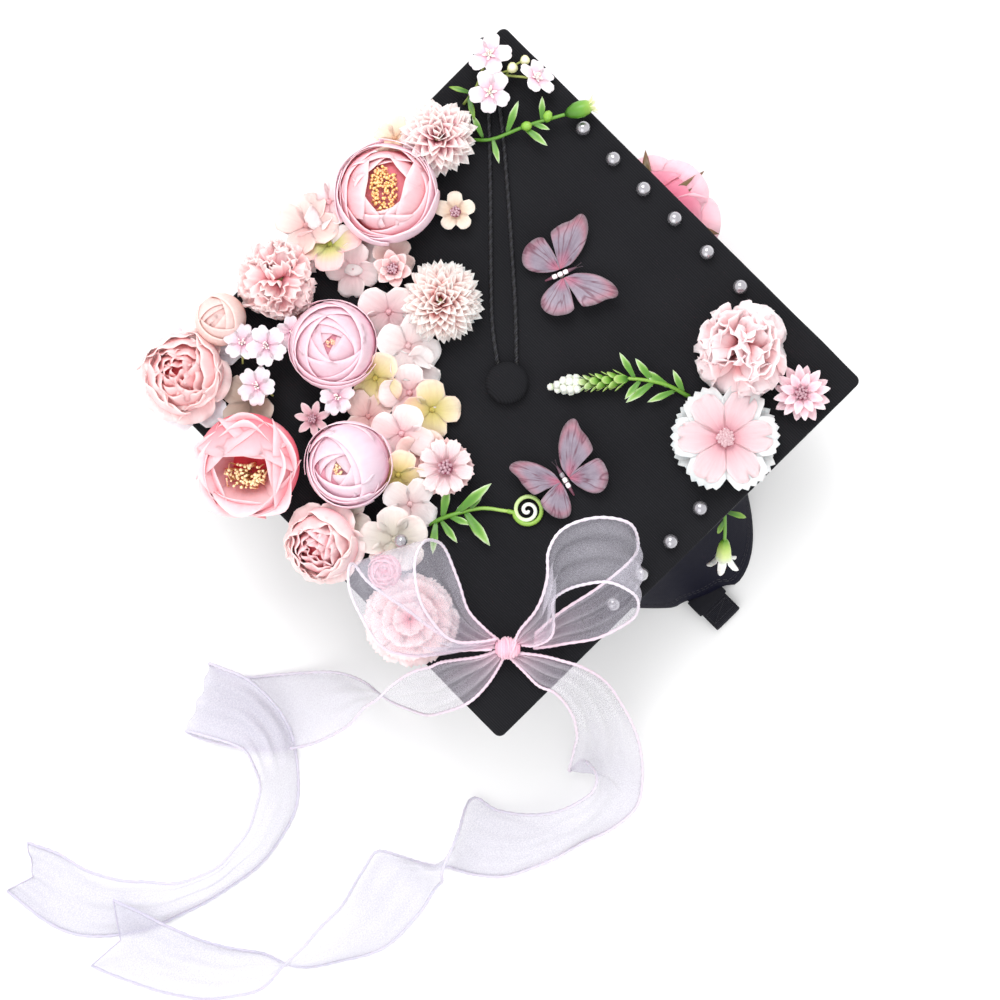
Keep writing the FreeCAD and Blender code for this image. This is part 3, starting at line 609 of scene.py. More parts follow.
def shell(piece, M, angle, R, H, top, tints, wide=60.0, lift=0.0, wave=0.0, waves=2.0, drop=0.16, flare=0.0,
          tuck=0.03, hug=0.0):
    """Petal that lies against a ball of radius R and height H, its rim top degrees from the pole.

    The rim is straight seen from above, and bends round the pole as hug goes to 1."""
    phase = piece.rnd.random() * TAU
    a = math.radians(angle)
    across = Vector((-math.sin(a), math.cos(a), 0))

    def at(u, v):
        v = 2 * v - 1
        polar = math.radians(SHELL_FOOT + ((top - SHELL_FOOT) * (1 - drop * abs(v) ** 3)) * u)
        beta = math.radians(wide) * v * (0.4 + 0.6 * math.sin(math.pi / 2 * min(1.0, u / 0.55)))
        out = Vector((math.sin(polar) * math.cos(a), math.sin(polar) * math.sin(a), math.cos(polar)))
        out = out * math.cos(beta) + across * math.sin(beta)
        if hug:
            swing = a + beta * 1.1
            ring = Vector((math.sin(polar) * math.cos(swing), math.sin(polar) * math.sin(swing),
                           math.cos(polar)))
            out = out.lerp(ring, hug).normalized()
        ripple = wave * u ** 3 * math.sin(waves * math.pi * v + phase)
        grow = 1 + lift * u * u + tuck * v + flare * smooth(0.72, 1.0, u) + ripple
        z = out.z * H * (0.6 if out.z > 0 else 0.4)
        return M @ Vector((out.x * R * grow, out.y * R * grow, 0.4 * H + z * grow)), ramp(tints, u)

    piece.grid(10, 14, at)


def tube(piece, points, radii, tint, sides=6, M=None, cap=True):
    """Round tube through points in metres, or in M's millimetres. tint is one colour or a ramp."""
    points = [Vector(p) for p in points]
    radii = list(radii) if hasattr(radii, "__len__") else [radii] * len(points)
    if M is not None:
        points = [M @ p for p in points]
        radii = [r * 0.001 for r in radii]
    tints = tint if isinstance(tint[0], tuple) else [tint, tint]
    if cap:
        first, last = (points[0] - points[1]).normalized(), (points[-1] - points[-2]).normalized()
        points = [points[0] + first * radii[0] * 0.5] + points + [points[-1] + last * radii[-1] * 0.5]
        radii = [radii[0] * 0.15] + radii + [radii[-1] * 0.15]
    tangents = along_path(points)
    normal = tangents[0].orthogonal().normalized()
    rings = []
    for point, tangent in zip(points, tangents):
        normal = (normal - tangent * normal.dot(tangent)).normalized()
        rings.append((point, normal.copy(), tangent.cross(normal)))
    n = len(points) - 1

    def at(u, v):
        i = round(u * n)
        point, side, up = rings[i]
        a = TAU * v
        return point + (side * math.cos(a) + up * math.sin(a)) * radii[i], ramp(tints, u)

    piece.grid(n, sides, at, closed=True)


def lathe(piece, M, profile, tint, sides=24, bumpy=None):
    """Surface turned about the part's own Z from (radius, height) points; bumpy adds to the radius."""
    tints = tint if isinstance(tint[0], tuple) else [tint, tint]
    n = len(profile) - 1

    def at(u, v):
        i = round(u * n)
        r, z = profile[i]
        a = TAU * v
        r = r * (1 + (bumpy(a, u) if bumpy else 0.0))
        return M @ Vector((r * math.cos(a), r * math.sin(a), z)), ramp(tints, u)

    piece.grid(n, sides, at, closed=True)


def bead(piece, M, centre, radius, tint, sides=8):
    """Small ball."""
    place = M @ Matrix.Translation(Vector(centre))
    ring = [(radius * math.sin(math.pi * i / 6) + 1e-4, -radius * math.cos(math.pi * i / 6))
            for i in range(7)]
    lathe(piece, place, ring, tint, sides)


def curve_through(points, parts=6):
    """Points on a Catmull-Rom curve through the given ones."""
    points = [Vector(p) for p in points]
    full = [points[0] * 2 - points[1]] + points + [points[-1] * 2 - points[-2]]
    result = []
    for a, b, c, d in zip(full, full[1:], full[2:], full[3:]):
        for k in range(parts):
            t = k / parts
            result.append(b + (c - a) * 0.5 * t + (a * 2 - b * 5 + c * 4 - d) * 0.5 * t * t
                          + (b * 3 - a - c * 3 + d) * 0.5 * t ** 3)
    result.append(points[-1])
    return result


# ---------------------------------------------------------------- bloom generators

def dome(rnd, count, reach):
    """Evenly spread directions over a dome from its pole down to reach degrees."""
    low = math.cos(math.radians(reach))
    for i in range(count):
        z = 1 - (i + 0.5) / count * (1 - low)
        polar = math.acos(z)
        turn = i * GOLDEN + rnd.uniform(-0.12, 0.12)
        out = Vector((math.sin(polar) * math.cos(turn), math.sin(polar) * math.sin(turn), z))
        side = Vector((-math.sin(turn), math.cos(turn), 0))
        yield out, side


def pompom(piece, M, R, H, count, width, tints, reach, fold, bend, start):
    """Ball of narrow folded petals, each with a pointed tip."""
    rnd = piece.rnd
    centre = Vector((0, 0, 0.32 * H))
    for out, side in dome(rnd, count, reach):
        up = out.cross(side)
        if up.z < 0:
            up = -up
        long = rnd.uniform(0.93, 1.04)
        lean = rnd.uniform(-0.5, 0.9) * bend
        wide = width * rnd.uniform(0.85, 1.15)
        shift = side * rnd.uniform(-0.08, 0.08) * R
        tone = rnd.uniform(-0.08, 0.08)

        def at(u, v):
            v = 2 * v - 1
            s = start + (1 - start) * u
            rim = wide / 2 * (0.45 + 0.55 * math.sin(math.pi / 2 * min(1.0, u / 0.55)))
            if u > 0.6:
                rim *= max(0.0, 1 - ((u - 0.6) / 0.4) ** 1.5)
            radial = R * s * long
            body = Vector((out.x * radial, out.y * radial, out.z * (H - centre.z) * s * long))
            place = centre + body + shift * u + side * v * rim
            place += up * (abs(v) * rim * fold * 2 + lean * R * 0.4 * u * u)
            return M @ place, ramp(tints, u + tone)

        piece.grid(5, 2, at)


def ruffles(piece, M, R, H, count, width, tints, reach, wave, waves, bend, start=0.3):
    """Ball of broad wavy petals turned every way, as in a carnation."""
    rnd = piece.rnd
    centre = Vector((0, 0, 0.3 * H))
    for out, side in dome(rnd, count, reach):
        turn = Matrix.Rotation(rnd.uniform(-1.2, 1.2), 3, out)
        side = turn @ side
        up = out.cross(side)
        long = rnd.uniform(0.92, 1.03)
        lean = rnd.choice((-1, 1)) * rnd.uniform(0.3, 1.0) * bend
        phase = rnd.uniform(0, TAU)
        wide = width * rnd.uniform(0.85, 1.15)
        tone = rnd.uniform(-0.1, 0.1)

        def at(u, v):
            v = 2 * v - 1
            tip = 1 - 0.16 * abs(v) ** 2.5
            s = start + (1 - start) * u * tip
            rim = wide / 2 * (0.3 + 0.7 * math.sin(math.pi / 2 * min(1.0, u / 0.85)))
            ripple = wave * R * u * u * math.sin(waves * math.pi * v + phase)
            body = Vector((out.x * R * s * long, out.y * R * s * long, out.z * (H - centre.z) * s * long))
            place = centre + body + side * v * rim + up * (ripple + lean * R * u * u)
            return M @ place, ramp(tints, u + tone + 0.35 * ripple / R)

        piece.grid(6, 8, at)


def beads(piece, M, height, spread, count, radius, tint):
    """Cluster of small glass beads in the heart of a bloom."""
    before, piece.kind = piece.kind, KNOBS
    for i in range(count):
        r = spread * math.sqrt((i + 0.2) / count)
        a = i * GOLDEN
        z = height + 0.35 * (spread - r) * 0.6
        bead(piece, M, (r * math.cos(a), r * math.sin(a), z), radius * piece.rnd.uniform(0.85, 1.1), tint)
    piece.kind = before


def stamens(piece, M, base, top, spread, count, tints, knob, kind=KNOBS, stretch=1.0, turn=0.0):
    """Bent filaments with a knob on each, in an oval of spread by spread * stretch."""
    before, piece.kind = piece.kind, kind
    rnd = piece.rnd
    for i in range(count):
        r = math.sqrt((i + rnd.random()) / count)
        a = rnd.random() * TAU
        x, y = r * spread * math.cos(a), r * spread * stretch * math.sin(a)
        c, s = math.cos(turn), math.sin(turn)
        x, y = c * x - s * y, s * x + c * y
        z = top - 0.25 * spread * r * r + rnd.uniform(-0.16, 0.12) * spread
        bow = rnd.uniform(0.6, 1.5)
        half_way = (x * bow, y * (2 - bow), (base + z) / 2 + 0.2 * spread)
        path = [(x * 0.3, y * 0.3, base), half_way, (x, y, z)]
        tube(piece, curve_through(path, 3), 0.27, tints, 4, M, cap=False)
        bead(piece, M, (x, y, z), knob * rnd.uniform(0.7, 1.3),
             mix(tints[-1], tints[0], rnd.uniform(0, 0.7)), 5)
    piece.kind = before


def core(piece, M, R, H, tint):
    """Closed heart that fills a bloom under its petals."""
    ring = [(0.1, 0.1 * H), (0.7 * R, 0.12 * H), (0.98 * R, 0.3 * H), (R, 0.45 * H), (0.92 * R, 0.62 * H),
            (0.74 * R, 0.78 * H), (0.5 * R, 0.88 * H), (0.25 * R, 0.93 * H), (0.02, 0.95 * H)]
    lathe(piece, M, ring, [mix(tint, (1, 0.8, 0.8), 0.2), tint, tint], 24,
          lambda a, u: 0.03 * math.sin(5 * a + 9 * u))


def ball(piece, M, R, H, tops, tints, deep, per, wide, step, **shape):
    """Closed bloom of smooth petals laid over one another, each layer's rim nearer the pole than the last."""
    core(piece, M, R * (1 - step * len(tops)) * 0.97, H * 0.84, mix(deep[0], deep[1], 0.6))
    for i, top in enumerate(tops):
        k = i / max(1, len(tops) - 1)
        tone = [mix(a, b, k) for a, b in zip(tints, deep)]
        number = per + i % 2
        for j in range(number):
            shell(piece, M, 360 / number * j + i * GOLDEN_DEGREES + piece.rnd.uniform(-20, 20),
                  R * (1 - step * i) * piece.rnd.uniform(0.985, 1.02), H * (1 - 0.035 * i * step / 0.05),
                  top * piece.rnd.uniform(0.84, 1.14), tone, wide=wide, hug=0.65, **shape)


def flat_bloom(piece, M, number, length, width, tints, spin=0.0, jitter=4.0, **shape):
    """Ring of open petals, each a little different in size and angle."""
    for j in range(number):
        grow = piece.rnd.uniform(0.94, 1.05)
        petal(piece, M, 360 / number * j + spin + piece.rnd.uniform(-jitter, jitter), length * grow,
              width * grow, tints=tints, **shape)


def ruffled_rose(piece, M, R, H, outer, inner):
    """Loose rose: wide outer petals that roll back, and a heart of wavy ones folded over one another."""
    for length, width, spin, rise, curl, cup, wave, lift in ((1.0, 1.05, 10, 20, 30, 0.28, 0.07, 0.14),
                                                             (0.86, 0.95, 40, 42, 40, 0.32, 0.06, 0.2)):
        flat_bloom(piece, M, 6, R * length, R * width, outer, spin, 9, rise=rise, curl=curl, cup=cup,
                   wave=wave * R, waves=2.5, lift=lift * H, root=0.05 * R, base=0.3, nu=8, nv=12)
    core(piece, M, R * 0.52, H * 0.9, mix(inner[0], inner[1], 0.6))
    for i, (share, top) in enumerate(((0.84, 50), (0.75, 40), (0.65, 31), (0.54, 24), (0.42, 18), (0.3, 12))):
        tone = [mix(a, b, min(1.0, i / 3)) for a, b in zip(outer, inner)]
        number = 4 if i < 4 else 3
        for j in range(number):
            angle = 360 / number * j + i * 67 + piece.rnd.uniform(-14, 14)
            shell(piece, M, angle, R * share * piece.rnd.uniform(0.95, 1.05), H * (0.9 + 0.02 * i),
                  top * piece.rnd.uniform(0.85, 1.2), tone, wide=50, flare=0.07 + 0.02 * i,
                  wave=0.055 + 0.02 * i, waves=3.0, drop=0.2, tuck=0.05)


# ---------------------------------------------------------------- the blooms

OLIVE = rgb(196, 196, 120)
LEAF_GREEN = rgb(78, 134, 32)
DARK_GREEN = rgb(40, 86, 24)
LIME = rgb(146, 184, 76)
WHITE = rgb(250, 248, 246)
WINE = rgb(150, 84, 104)
BLACK = (0.02, 0.02, 0.02)
BLUE_BLACK = (0.02, 0.02, 0.03)
CORD_BLACK = rgb(30, 30, 33)


def make_bloom(node, build, slot, spin=0.0, lean=0.0, heading=0.0, foot=True):
    """Bloom on its CAD solid. build makes its petals, and a green foot goes under a bloom with one head."""
    piece = Piece(node)
    M, spread, height = head(node, spin, lean, heading)
    build(piece, M, spread, height)
    if foot:
        foot_r = 0.26 * spread
        piece.kind = STEMS
        lathe(piece, M, [(0.6, -0.9), (foot_r, -0.6), (foot_r * 1.1, 0.4), (foot_r * 1.5, 0.18 * height),
                         (foot_r * 0.8, 0.3 * height), (0.2, 0.34 * height)], [LEAF_GREEN, OLIVE], 12)
    return piece.finish(node + "_bloom", [PETAL, GREEN, BEAD], "cap", [node], slot, 0.22)


def dahlia(p, M, R, H):
    """Many narrow pink petals."""
    pompom(p, M, R * 1.0, H * 1.04, 92, R * 0.34, tones("f08296 f8a4b2 fdced4 ffece8 fff6f2"),
           reach=108, fold=0.4, bend=0.35, start=0.3)


def chrysanthemum(p, M, R, H):
    """More and finer petals, cream at their tips."""
    pompom(p, M, R * 1.0, H * 1.04, 165, R * 0.25, tones("ec7478 f39e9e faccc8 fceee8 faf7f4"),
           reach=106, fold=0.35, bend=0.3, start=0.35)


def carnation(p, M, R, H):
    """Rosy ball of ruffles."""
    ruffles(p, M, R * 0.98, H * 1.04, 62, R * 0.62, tones("e88c98 f6b8be fcd0d2 fee2e0"),
            reach=104, wave=0.075, waves=3.0, bend=0.4)


def carnation_light(p, M, R, H):
    """Paler ball of broader ruffles."""
    ruffles(p, M, R * 0.96, H * 1.04, 50, R * 0.74, tones("f6969c fcc8ca ffe0e2 ffe8ea"),
            reach=100, wave=0.06, waves=2.4, bend=0.46, start=0.2)


def ranunculus_with_stamens(p, M, R, H):
    """Open bowl of petals round a heart of yellow stamens."""
    tints = tones("f0b0c2 f6cad8 f9d8e4 fbe0e9")
    deep = tones("ec7482 f59ea8 f9bcc4 fbd4da")
    ball(p, M, R, H * 1.02, (70, 60, 51), tints, deep, 4, 56, 0.05, flare=0.035, wave=0.02)
    core(p, M, R * 0.5, H * 0.74, rgb(248, 130, 110))
    coral = tones("ec5460 f3808a f9bcc2 fbd8dd")
    for angle, share, top in ((120, 0.84, 25), (-50, 0.82, 22), (45, 0.8, 38), (-130, 0.8, 44),
                              (88, 0.76, 30), (-10, 0.76, 28), (-90, 0.74, 34), (172, 0.74, 36),
                              (60, 0.66, 36), (-120, 0.66, 44)):
        shell(p, M, angle, R * share, H * 1.02, top, coral, wide=44, flare=0.05, wave=0.03)
    stamens(p, M, 0.3 * H, 0.94 * H, R * 0.26, 170, tones("ec7818 faa42c ffce54"), 0.62, stretch=1.7,
            turn=-0.75)


def ranunculus_round(p, M, R, H):
    """Petals closed in rings round a small eye."""
    tints = tones("e59eb3 edb8c9 f1cad6 f5d4de")
    deep = tones("e58a9f efaebd f4c4d0 f8cfda")
    ball(p, M, R * 1.0, H * 1.02, (66, 54, 43, 32, 22, 13, 7), tints, deep, 2, 88, 0.045, flare=0.025,
         wave=0.03, waves=1.3)
    stamens(p, M, 0.5 * H, 0.86 * H, R * 0.1, 22, tones("e26e3c f0965a f8ba8c"), 0.45)


def ranunculus_closed(p, M, R, H):
    """As the round one, with its inner petals tipped to one side."""
    tints = tones("e8a8be f0c4d4 f5d4e1 f8dce7")
    deep = tones("e88ca0 f0b6c4 f6ced9 f9d7e0")
    ball(p, M, R * 1.0, H * 1.0, (66, 56), tints, deep, 3, 72, 0.05, flare=0.03, wave=0.03, waves=1.4)
    tip = Matrix.Rotation(math.radians(20), 4, Vector((0.3, 1.0, 0.0)))
    M = M @ Matrix.Translation((0, 0, 0.4 * H)) @ tip @ Matrix.Translation((0, 0, -0.4 * H))
    ball(p, M, R * 0.95, H * 0.98, (38, 27, 17, 8), tints, deep, 2, 88, 0.06, flare=0.03, wave=0.03,
         waves=1.4)
    stamens(p, M, 0.5 * H, 0.86 * H, R * 0.14, 24, tones("ec9646 f8c46e fde2a0"), 0.5)


def peony(p, M, R, H):
    """Large open bloom: loose outer petals, a deep pink bowl and yellow stamens."""
    outer = tones("ee6e7e f6a0aa fbc4ca fdd4d8")
    for number, length, spin, rise, curl, cup, lift, side in ((5, 1.16, 8, 30, -10, 0.4, 0.08, 0.5),
                                                              (4, 1.14, 44, 46, 0, 0.45, 0.1, 0.45)):
        flat_bloom(p, M, number, R * length, R * 1.3, outer, spin, 9, rise=rise, curl=curl, cup=cup,
                   wave=0.05 * R, waves=1.4, lift=lift * H, root=0.06 * R, base=0.3, side=side, power=1.5,
                   nu=12, nv=16)
    inner = tones("ee465e f67686 faacb4 fdccd2")
    core(p, M, R * 0.56, H * 0.45, rgb(240, 90, 104))
    for angle, share, top in ((228, 0.94, 12), (192, 0.9, 24), (264, 0.9, 20), (-45, 0.9, 40),
                              (135, 0.9, 36), (45, 0.88, 54), (6, 0.86, 50), (84, 0.86, 48),
                              (215, 0.78, 16), (30, 0.74, 44), (150, 0.74, 34), (-30, 0.74, 36)):
        shell(p, M, angle, R * share, H * 1.0, top, inner, wide=56, lift=0.05, flare=0.07, wave=0.05,
              waves=1.4, drop=0.3)
    stamens(p, M @ Matrix.Translation((0.1 * R, 0.1 * R, 0)), 0.2 * H, 0.8 * H, R * 0.22, 84,
            tones("e2962c f6cc60 fdecaa"), 0.66, stretch=1.7, turn=0.785)


def rose_peach(p, M, R, H):
    """Loose peach rose over a few white leaves."""
    ruffled_rose(p, M, R, H, tones("f8a2a4 fbc4c6 fddada fde2e0"),
                 tones("f65a64 fa848a fdb0b2 fecccc"))
    for heading, x, y in ((250, -4, -12), (20, 9, 9), (80, 2, 13), (160, -14, 2)):
        petal(p, M @ Matrix.Translation((x, y, 0)), heading, 15, 17, 10, 20, tones("e8dae4 f4ecf4 faf6fc"),
              cup=0.3, wave=0.6, lift=1.0)


def rose_pink(p, M, R, H):
    """Loose pink rose."""
    ruffled_rose(p, M, R, H, tones("f8aaae fbc8cc fddcdc fde4e1"),
                 tones("f66272 fa8c96 fdb8be fed2d5"))


def rose_small(p, M, R, H):
    """Small closed rose."""
    ball(p, M, R, H, (56, 44, 33, 22, 12), tones("e86e8c f396aa fabeca"),
         tones("e45a7a f0829a f9b4c2"), 3, 62, 0.08, flare=0.05, wave=0.03, waves=3.0)


def rosebud(p, M, R, H):
    """Cream bud."""
    ball(p, M, R, H * 1.02, (40, 26, 12, -4, -14), tones("e8b49c f0c8be f4d4cc f6d8d2"),
         tones("ee8c88 f3aaa6 f6c2be f8ceca"), 2, 72, 0.05, flare=0.015)


def beaded(number, tints, length, width, rise, curl, side, hub, teeth=0.0, power=2.2, fold=0.0, layers=1,
           under=None):
    """Maker of a flat bloom with a beaded heart, for the daisies and the small blossoms."""

    def build(p, M, R, H):
        if under:
            flat_bloom(p, M, number, R * length, R * width * 1.1, under, 180 / number, 4, rise=rise - 6,
                       curl=curl, teeth=teeth, power=power, lift=0.28 * H, cup=0.2, side=side)
        for i in range(layers):
            flat_bloom(p, M, number, R * length * (1 - 0.2 * i), R * width * (1 - 0.15 * i), tints,
                       180 / number * i, 4, rise=rise + 14 * i, curl=curl, teeth=teeth, power=power,
                       fold=fold, lift=0.42 * H + 0.6 * i, cup=0.2, root=0.06 * R, side=side)
        lathe(p, M, [(R * hub, 0.35 * H), (R * hub, 0.6 * H), (R * hub * 0.6, 0.72 * H), (0.1, 0.75 * H)],
              WINE, 12)
        beads(p, M, 0.72 * H, R * hub, 14, R * hub * 0.26, WINE)

    return build


def fringed(p, M, R, H):
    """Carnation with a toothed rim, in four rings."""
    tints = tones("f696a6 fcc4cc fedadc ffe4e4")
    for i, (share, rise) in enumerate(((1.02, 8), (0.88, 20), (0.68, 34), (0.46, 52))):
        flat_bloom(p, M, 6 if i < 3 else 5, R * share, R * 0.98 * share, tints, 29 * i, 5, rise=rise,
                   curl=16, teeth=0.03, count=9, wave=0.06 * R * share, waves=3.0,
                   lift=(0.1 + 0.12 * i) * H, side=0.7, power=2.6, nu=8, nv=22, base=0.25)


def cosmos(p, M, R, H):
    """Six separate petals, pink with a white toothed rim, over a few white ones."""
    white = tones("d4cccf dedbdc e4e2e2 e4e2e2")
    pink = tones("ea9ca8 f2b8bf f4cacf f5d1d5 f5d5d8")
    for j in range(6):
        angle = 60 * j + 4 + p.rnd.uniform(-3, 3)
        grow = p.rnd.uniform(0.96, 1.05)
        if j % 3:
            petal(p, M, angle + 22, R * 0.86 * grow, R * 0.6, 4, 8, white, root=0.1 * R, lift=0.28 * H,
                  cup=0.1, side=0.66, power=2.8, teeth=0.04, count=4, base=0.2, wave=0.4, nu=9, nv=16)
        petal(p, M, angle, R * 0.88 * grow, R * 0.78, 9, 8, white, root=0.1 * R, lift=0.42 * H, cup=0.2,
              side=0.62, power=2.6, teeth=0.035, count=5, base=0.16, wave=0.5, nu=9, nv=20)
        petal(p, M, angle, R * 0.78 * grow, R * 0.62, 9, 8, pink, root=0.1 * R, lift=0.42 * H + 0.4,
              cup=0.2, side=0.56, power=2.4, base=0.2, wave=0.3, notch=0.04, nu=8, nv=12)
    lathe(p, M, [(R * 0.14, 0.35 * H), (R * 0.14, 0.6 * H), (R * 0.1, 0.7 * H), (0.1, 0.72 * H)],
          rgb(160, 96, 106), 12)
    beads(p, M, 0.7 * H, R * 0.15, 34, R * 0.04, rgb(176, 122, 130))


def ring_of(places, build):
    """Small heads on one node, at (x, y, foot height, size, lean, heading, spin) in mm and degrees."""

    def whole(p, *solid):
        for x, y, z, size, lean, heading, spin, *more in places:
            build(p, spot(x, y, z, lean, heading, spin), size, *more)

    return whole


BOARD_LOW, BOARD_HIGH = box_mm("board_top_cover")
BOARD_Z = BOARD_HIGH.z
BOARD_HALF = (BOARD_HIGH.x - BOARD_LOW.x) / 2
BOARD_CORNER = 3.0


def cherry(p, M, size, height=10.0):
    """Five-petal cherry blossom on a short pale stem."""
    flat_bloom(p, M, 5, size, size * 0.92, tones("eca8c0 f4cedb f4e0e7 f3e6eb"), 0, 8, rise=24, curl=26,
               cup=0.3, notch=0.12, lift=height, base=0.25, side=0.5, nu=6, nv=8)
    tips = [rgb(240, 190, 210), WHITE, rgb(255, 250, 235)]
    stamens(p, M, height, height + size * 0.34, size * 0.2, 9, tips, 0.32)
    p.kind = STEMS
    stem = [(0, 0, height + 0.5), (0.6, 0.3, height * 0.55), (size * 0.5, size * 0.3, 1.0)]
    tube(p, curve_through(stem, 4), 0.42, [LIME, OLIVE], 5, M)
    p.kind = PETALS


def floret(p, M, size, tints, number=4, height=6.0, curl=18.0, rise=16.0):
    """Head of a hydrangea: broad round petals with a small hub."""
    flat_bloom(p, M, number, size, size * 1.12, tints, 0, 7, rise=rise, curl=curl, cup=0.34,
               wave=0.06 * size, waves=1.7, lift=height, base=0.22, side=0.42, nu=7, nv=10)
    bead(p, M, (0, 0, height + 0.3), size * 0.09, tints[0], 8)
    p.kind = STEMS
    tube(p, [(0, 0, height), (0.3, 0.2, height * 0.5), (0, 0, 0.2 - min(1.2, height))], [0.7, 0.6, 0.9],
         [LIME, OLIVE], 6, M)
    p.kind = PETALS


PALE = tones("f0b8be f7d0d2 fbe0e0 fdeceb")
SNOW = tones("e6bcbe eed6d5 f1e2e1 f2e8e7")
GREEN_PINK = tones("b2b860 d6ce92 f4ccc6 f6c4c6")
BUTTER = tones("c8b868 e6d096 f1dcb6 f5d6c6")
DUSTY = tones("d8a0a0 e6bab6 f0cec8 f6dad4")
GREY = tones("cec4b4 ded2c4 eadcd4 f2e0dc")
TAUPE = tones("a48c80 baa496 c8b4a8 d4c2b8")
PEACH = tones("e2b496 f6d0b8 fbdec8 fce4d2")

BLOOMS = (
    ("dahlia_pink", dahlia, "petal_pink", 0, 0, 0),
    ("chrysanthemum_cream", chrysanthemum, "petal_cream", 0, 0, 0),
    ("carnation_pink", carnation, "petal_rose", 0, 0, 0),
    ("carnation_right", carnation_light, "petal_rose", 0, 0, 0),
    ("ranunculus_open", ranunculus_with_stamens, "petal_pink", 0, 0, 0),
    ("ranunculus_round", ranunculus_round, "petal_pale", 0, 0, 0),
    ("ranunculus_closed", ranunculus_closed, "petal_pale", 0, 6, 60),
    ("peony_open", peony, "petal_pink", 0, 12, 0),
    ("rose_peach", rose_peach, "petal_peach", 0, 0, 0),
    ("rose_pink", rose_pink, "petal_pink", 0, 12, 0),
    ("rose_small", rose_small, "petal_rose", 0, 0, 0),
    ("rosebud_cream", rosebud, "petal_cream", 0, 0, 0),
    ("carnation_fringed", fringed, "petal_pink", 0, 0, 0),
    ("blossom_peach", beaded(5, tones("e6b496 f8d6be fce4d2 fce8d8"), 1.0, 0.95, 18, 20, 0.4, 0.26),
     "petal_peach", 12, 0, 0),
    ("blossom_mauve", beaded(6, tones("de96a0 f0babe fad0d0 fcdcda"), 1.0, 0.8, 30, -6, 0.3, 0.24,
                             power=1.6, fold=0.2, layers=2), "petal_mauve", 0, 0, 0),
    ("daisy_mauve", beaded(7, tones("dc96a6 eeb2bc f8cad0 fad6d8"), 1.1, 0.62, 20, 10, 0.3, 0.24,
                           power=1.6, fold=0.25), "petal_mauve", 0, 0, 0),
    ("daisy_dusty", beaded(9, tones("e4a0ac f4c2c8 fbd8da fde2e2"), 1.02, 0.62, 16, 8, 0.6, 0.26,
                           teeth=0.05, power=2.4, fold=0.15, under=tones("de96a0 f0babe f8d0ce")),
     "petal_mauve", 0, 0, 0),
    ("daisy_right", beaded(8, tones("de96aa f0bac8 fad4dc fce0e6"), 1.02, 0.52, 18, 6, 0.25, 0.22,
                           power=1.5, fold=0.35, layers=2, under=tones("e4a0b2 f4c2cc fad6dc")),
     "petal_mauve", 8, 0, 0),
    ("cosmos_right", cosmos, "petal_pale", 12, 0, 0),
)
for bloom in BLOOMS:
    make_bloom(*bloom)

# foot of the small heads, a little above the board
Z = BOARD_Z + 1.0
make_bloom("cherry_blossoms", ring_of([
    (78.2, -96.3, Z, 9.2, 14, 200, 10, 15), (66.1, -89.6, Z, 9.8, 6, 60, 40, 16),
    (55.0, -88.6, Z, 8.0, 16, 100, 20, 12), (81.9, -77.2, Z, 9.6, 10, 330, 55, 13),
    (60.7, -49.5, Z, 8.6, 8, 90, 15, 10),
], cherry), "petal_pale", foot=False)
make_bloom("hydrangea_upper", ring_of([
    (14.0, -117.0, Z, 16.0, 16, 260, 30, DUSTY, 4, 3.5), (-2.0, -117.0, Z, 14.5, 18, 290, 10, PALE, 4, 4.0),
    (13.0, -101.0, Z, 16.0, 22, 250, 52, GREEN_PINK, 4, 6.5), (2.0, -94.0, Z, 14.0, 14, 60, 20, SNOW, 4, 4.0),
    (12.0, -88.0, Z, 13.0, 20, 40, 35, PALE, 4, 2.5), (-44.7, -116.0, Z, 11.0, 24, 250, 0, PEACH, 5, 4.0),
    (46.0, -91.5, Z, 11.0, 12, 60, 30, DUSTY, 4, 3.0), (-4.0, -78.5, Z, 11.0, 20, 100, 15, DUSTY, 4, 3.0),
], floret), "petal_pale", foot=False)
make_bloom("hydrangea_middle", ring_of([
    (13.0, -62.0, Z, 15.5, 26, 40, 0, PALE, 4, 6.0), (21.0, -45.0, Z, 16.0, 24, 110, 30, SNOW, 4, 7.5),
    (38.5, -43.5, Z, 15.0, 28, 20, 10, BUTTER, 4, 6.5), (34.5, -27.0, Z, 14.5, 16, 60, 40, PALE, 4, 4.0),
    (26.0, -34.0, Z, 13.0, 20, 80, 20, SNOW, 4, 3.0),
], floret), "petal_cream", foot=False)
make_bloom("hydrangea_lower", ring_of([
    (57.5, -32.0, Z, 13.0, 10, 180, 0, DUSTY, 4, 3.0), (49.2, -16.5, Z, 15.5, 22, 40, 20, PALE, 4, 7.0),
    (33.0, -14.0, Z, 14.0, 18, 90, 50, BUTTER, 4, 3.5), (64.5, -5.0, Z, 14.0, 30, 60, 35, BUTTER, 4, 6.5),
    (72.0, 10.0, Z, 14.0, 20, 90, 10, SNOW, 4, 4.5), (52.0, -2.0, Z, 13.0, 16, 80, 15, DUSTY, 4, 3.0),
], floret), "petal_cream", foot=False)
make_bloom("hydrangea_grey", ring_of([
    (88.1, 17.5, Z, 16.5, 14, 60, 20, GREY, 5, 5.0), (91.0, -76.0, Z, 15.0, 16, 300, 10, TAUPE, 4, 3.5),
    (97.0, -3.0, Z, 12.0, 16, 320, 20, GREY, 4, 3.0),
], floret), "petal_grey", foot=False)


# ---------------------------------------------------------------- rose under the edge

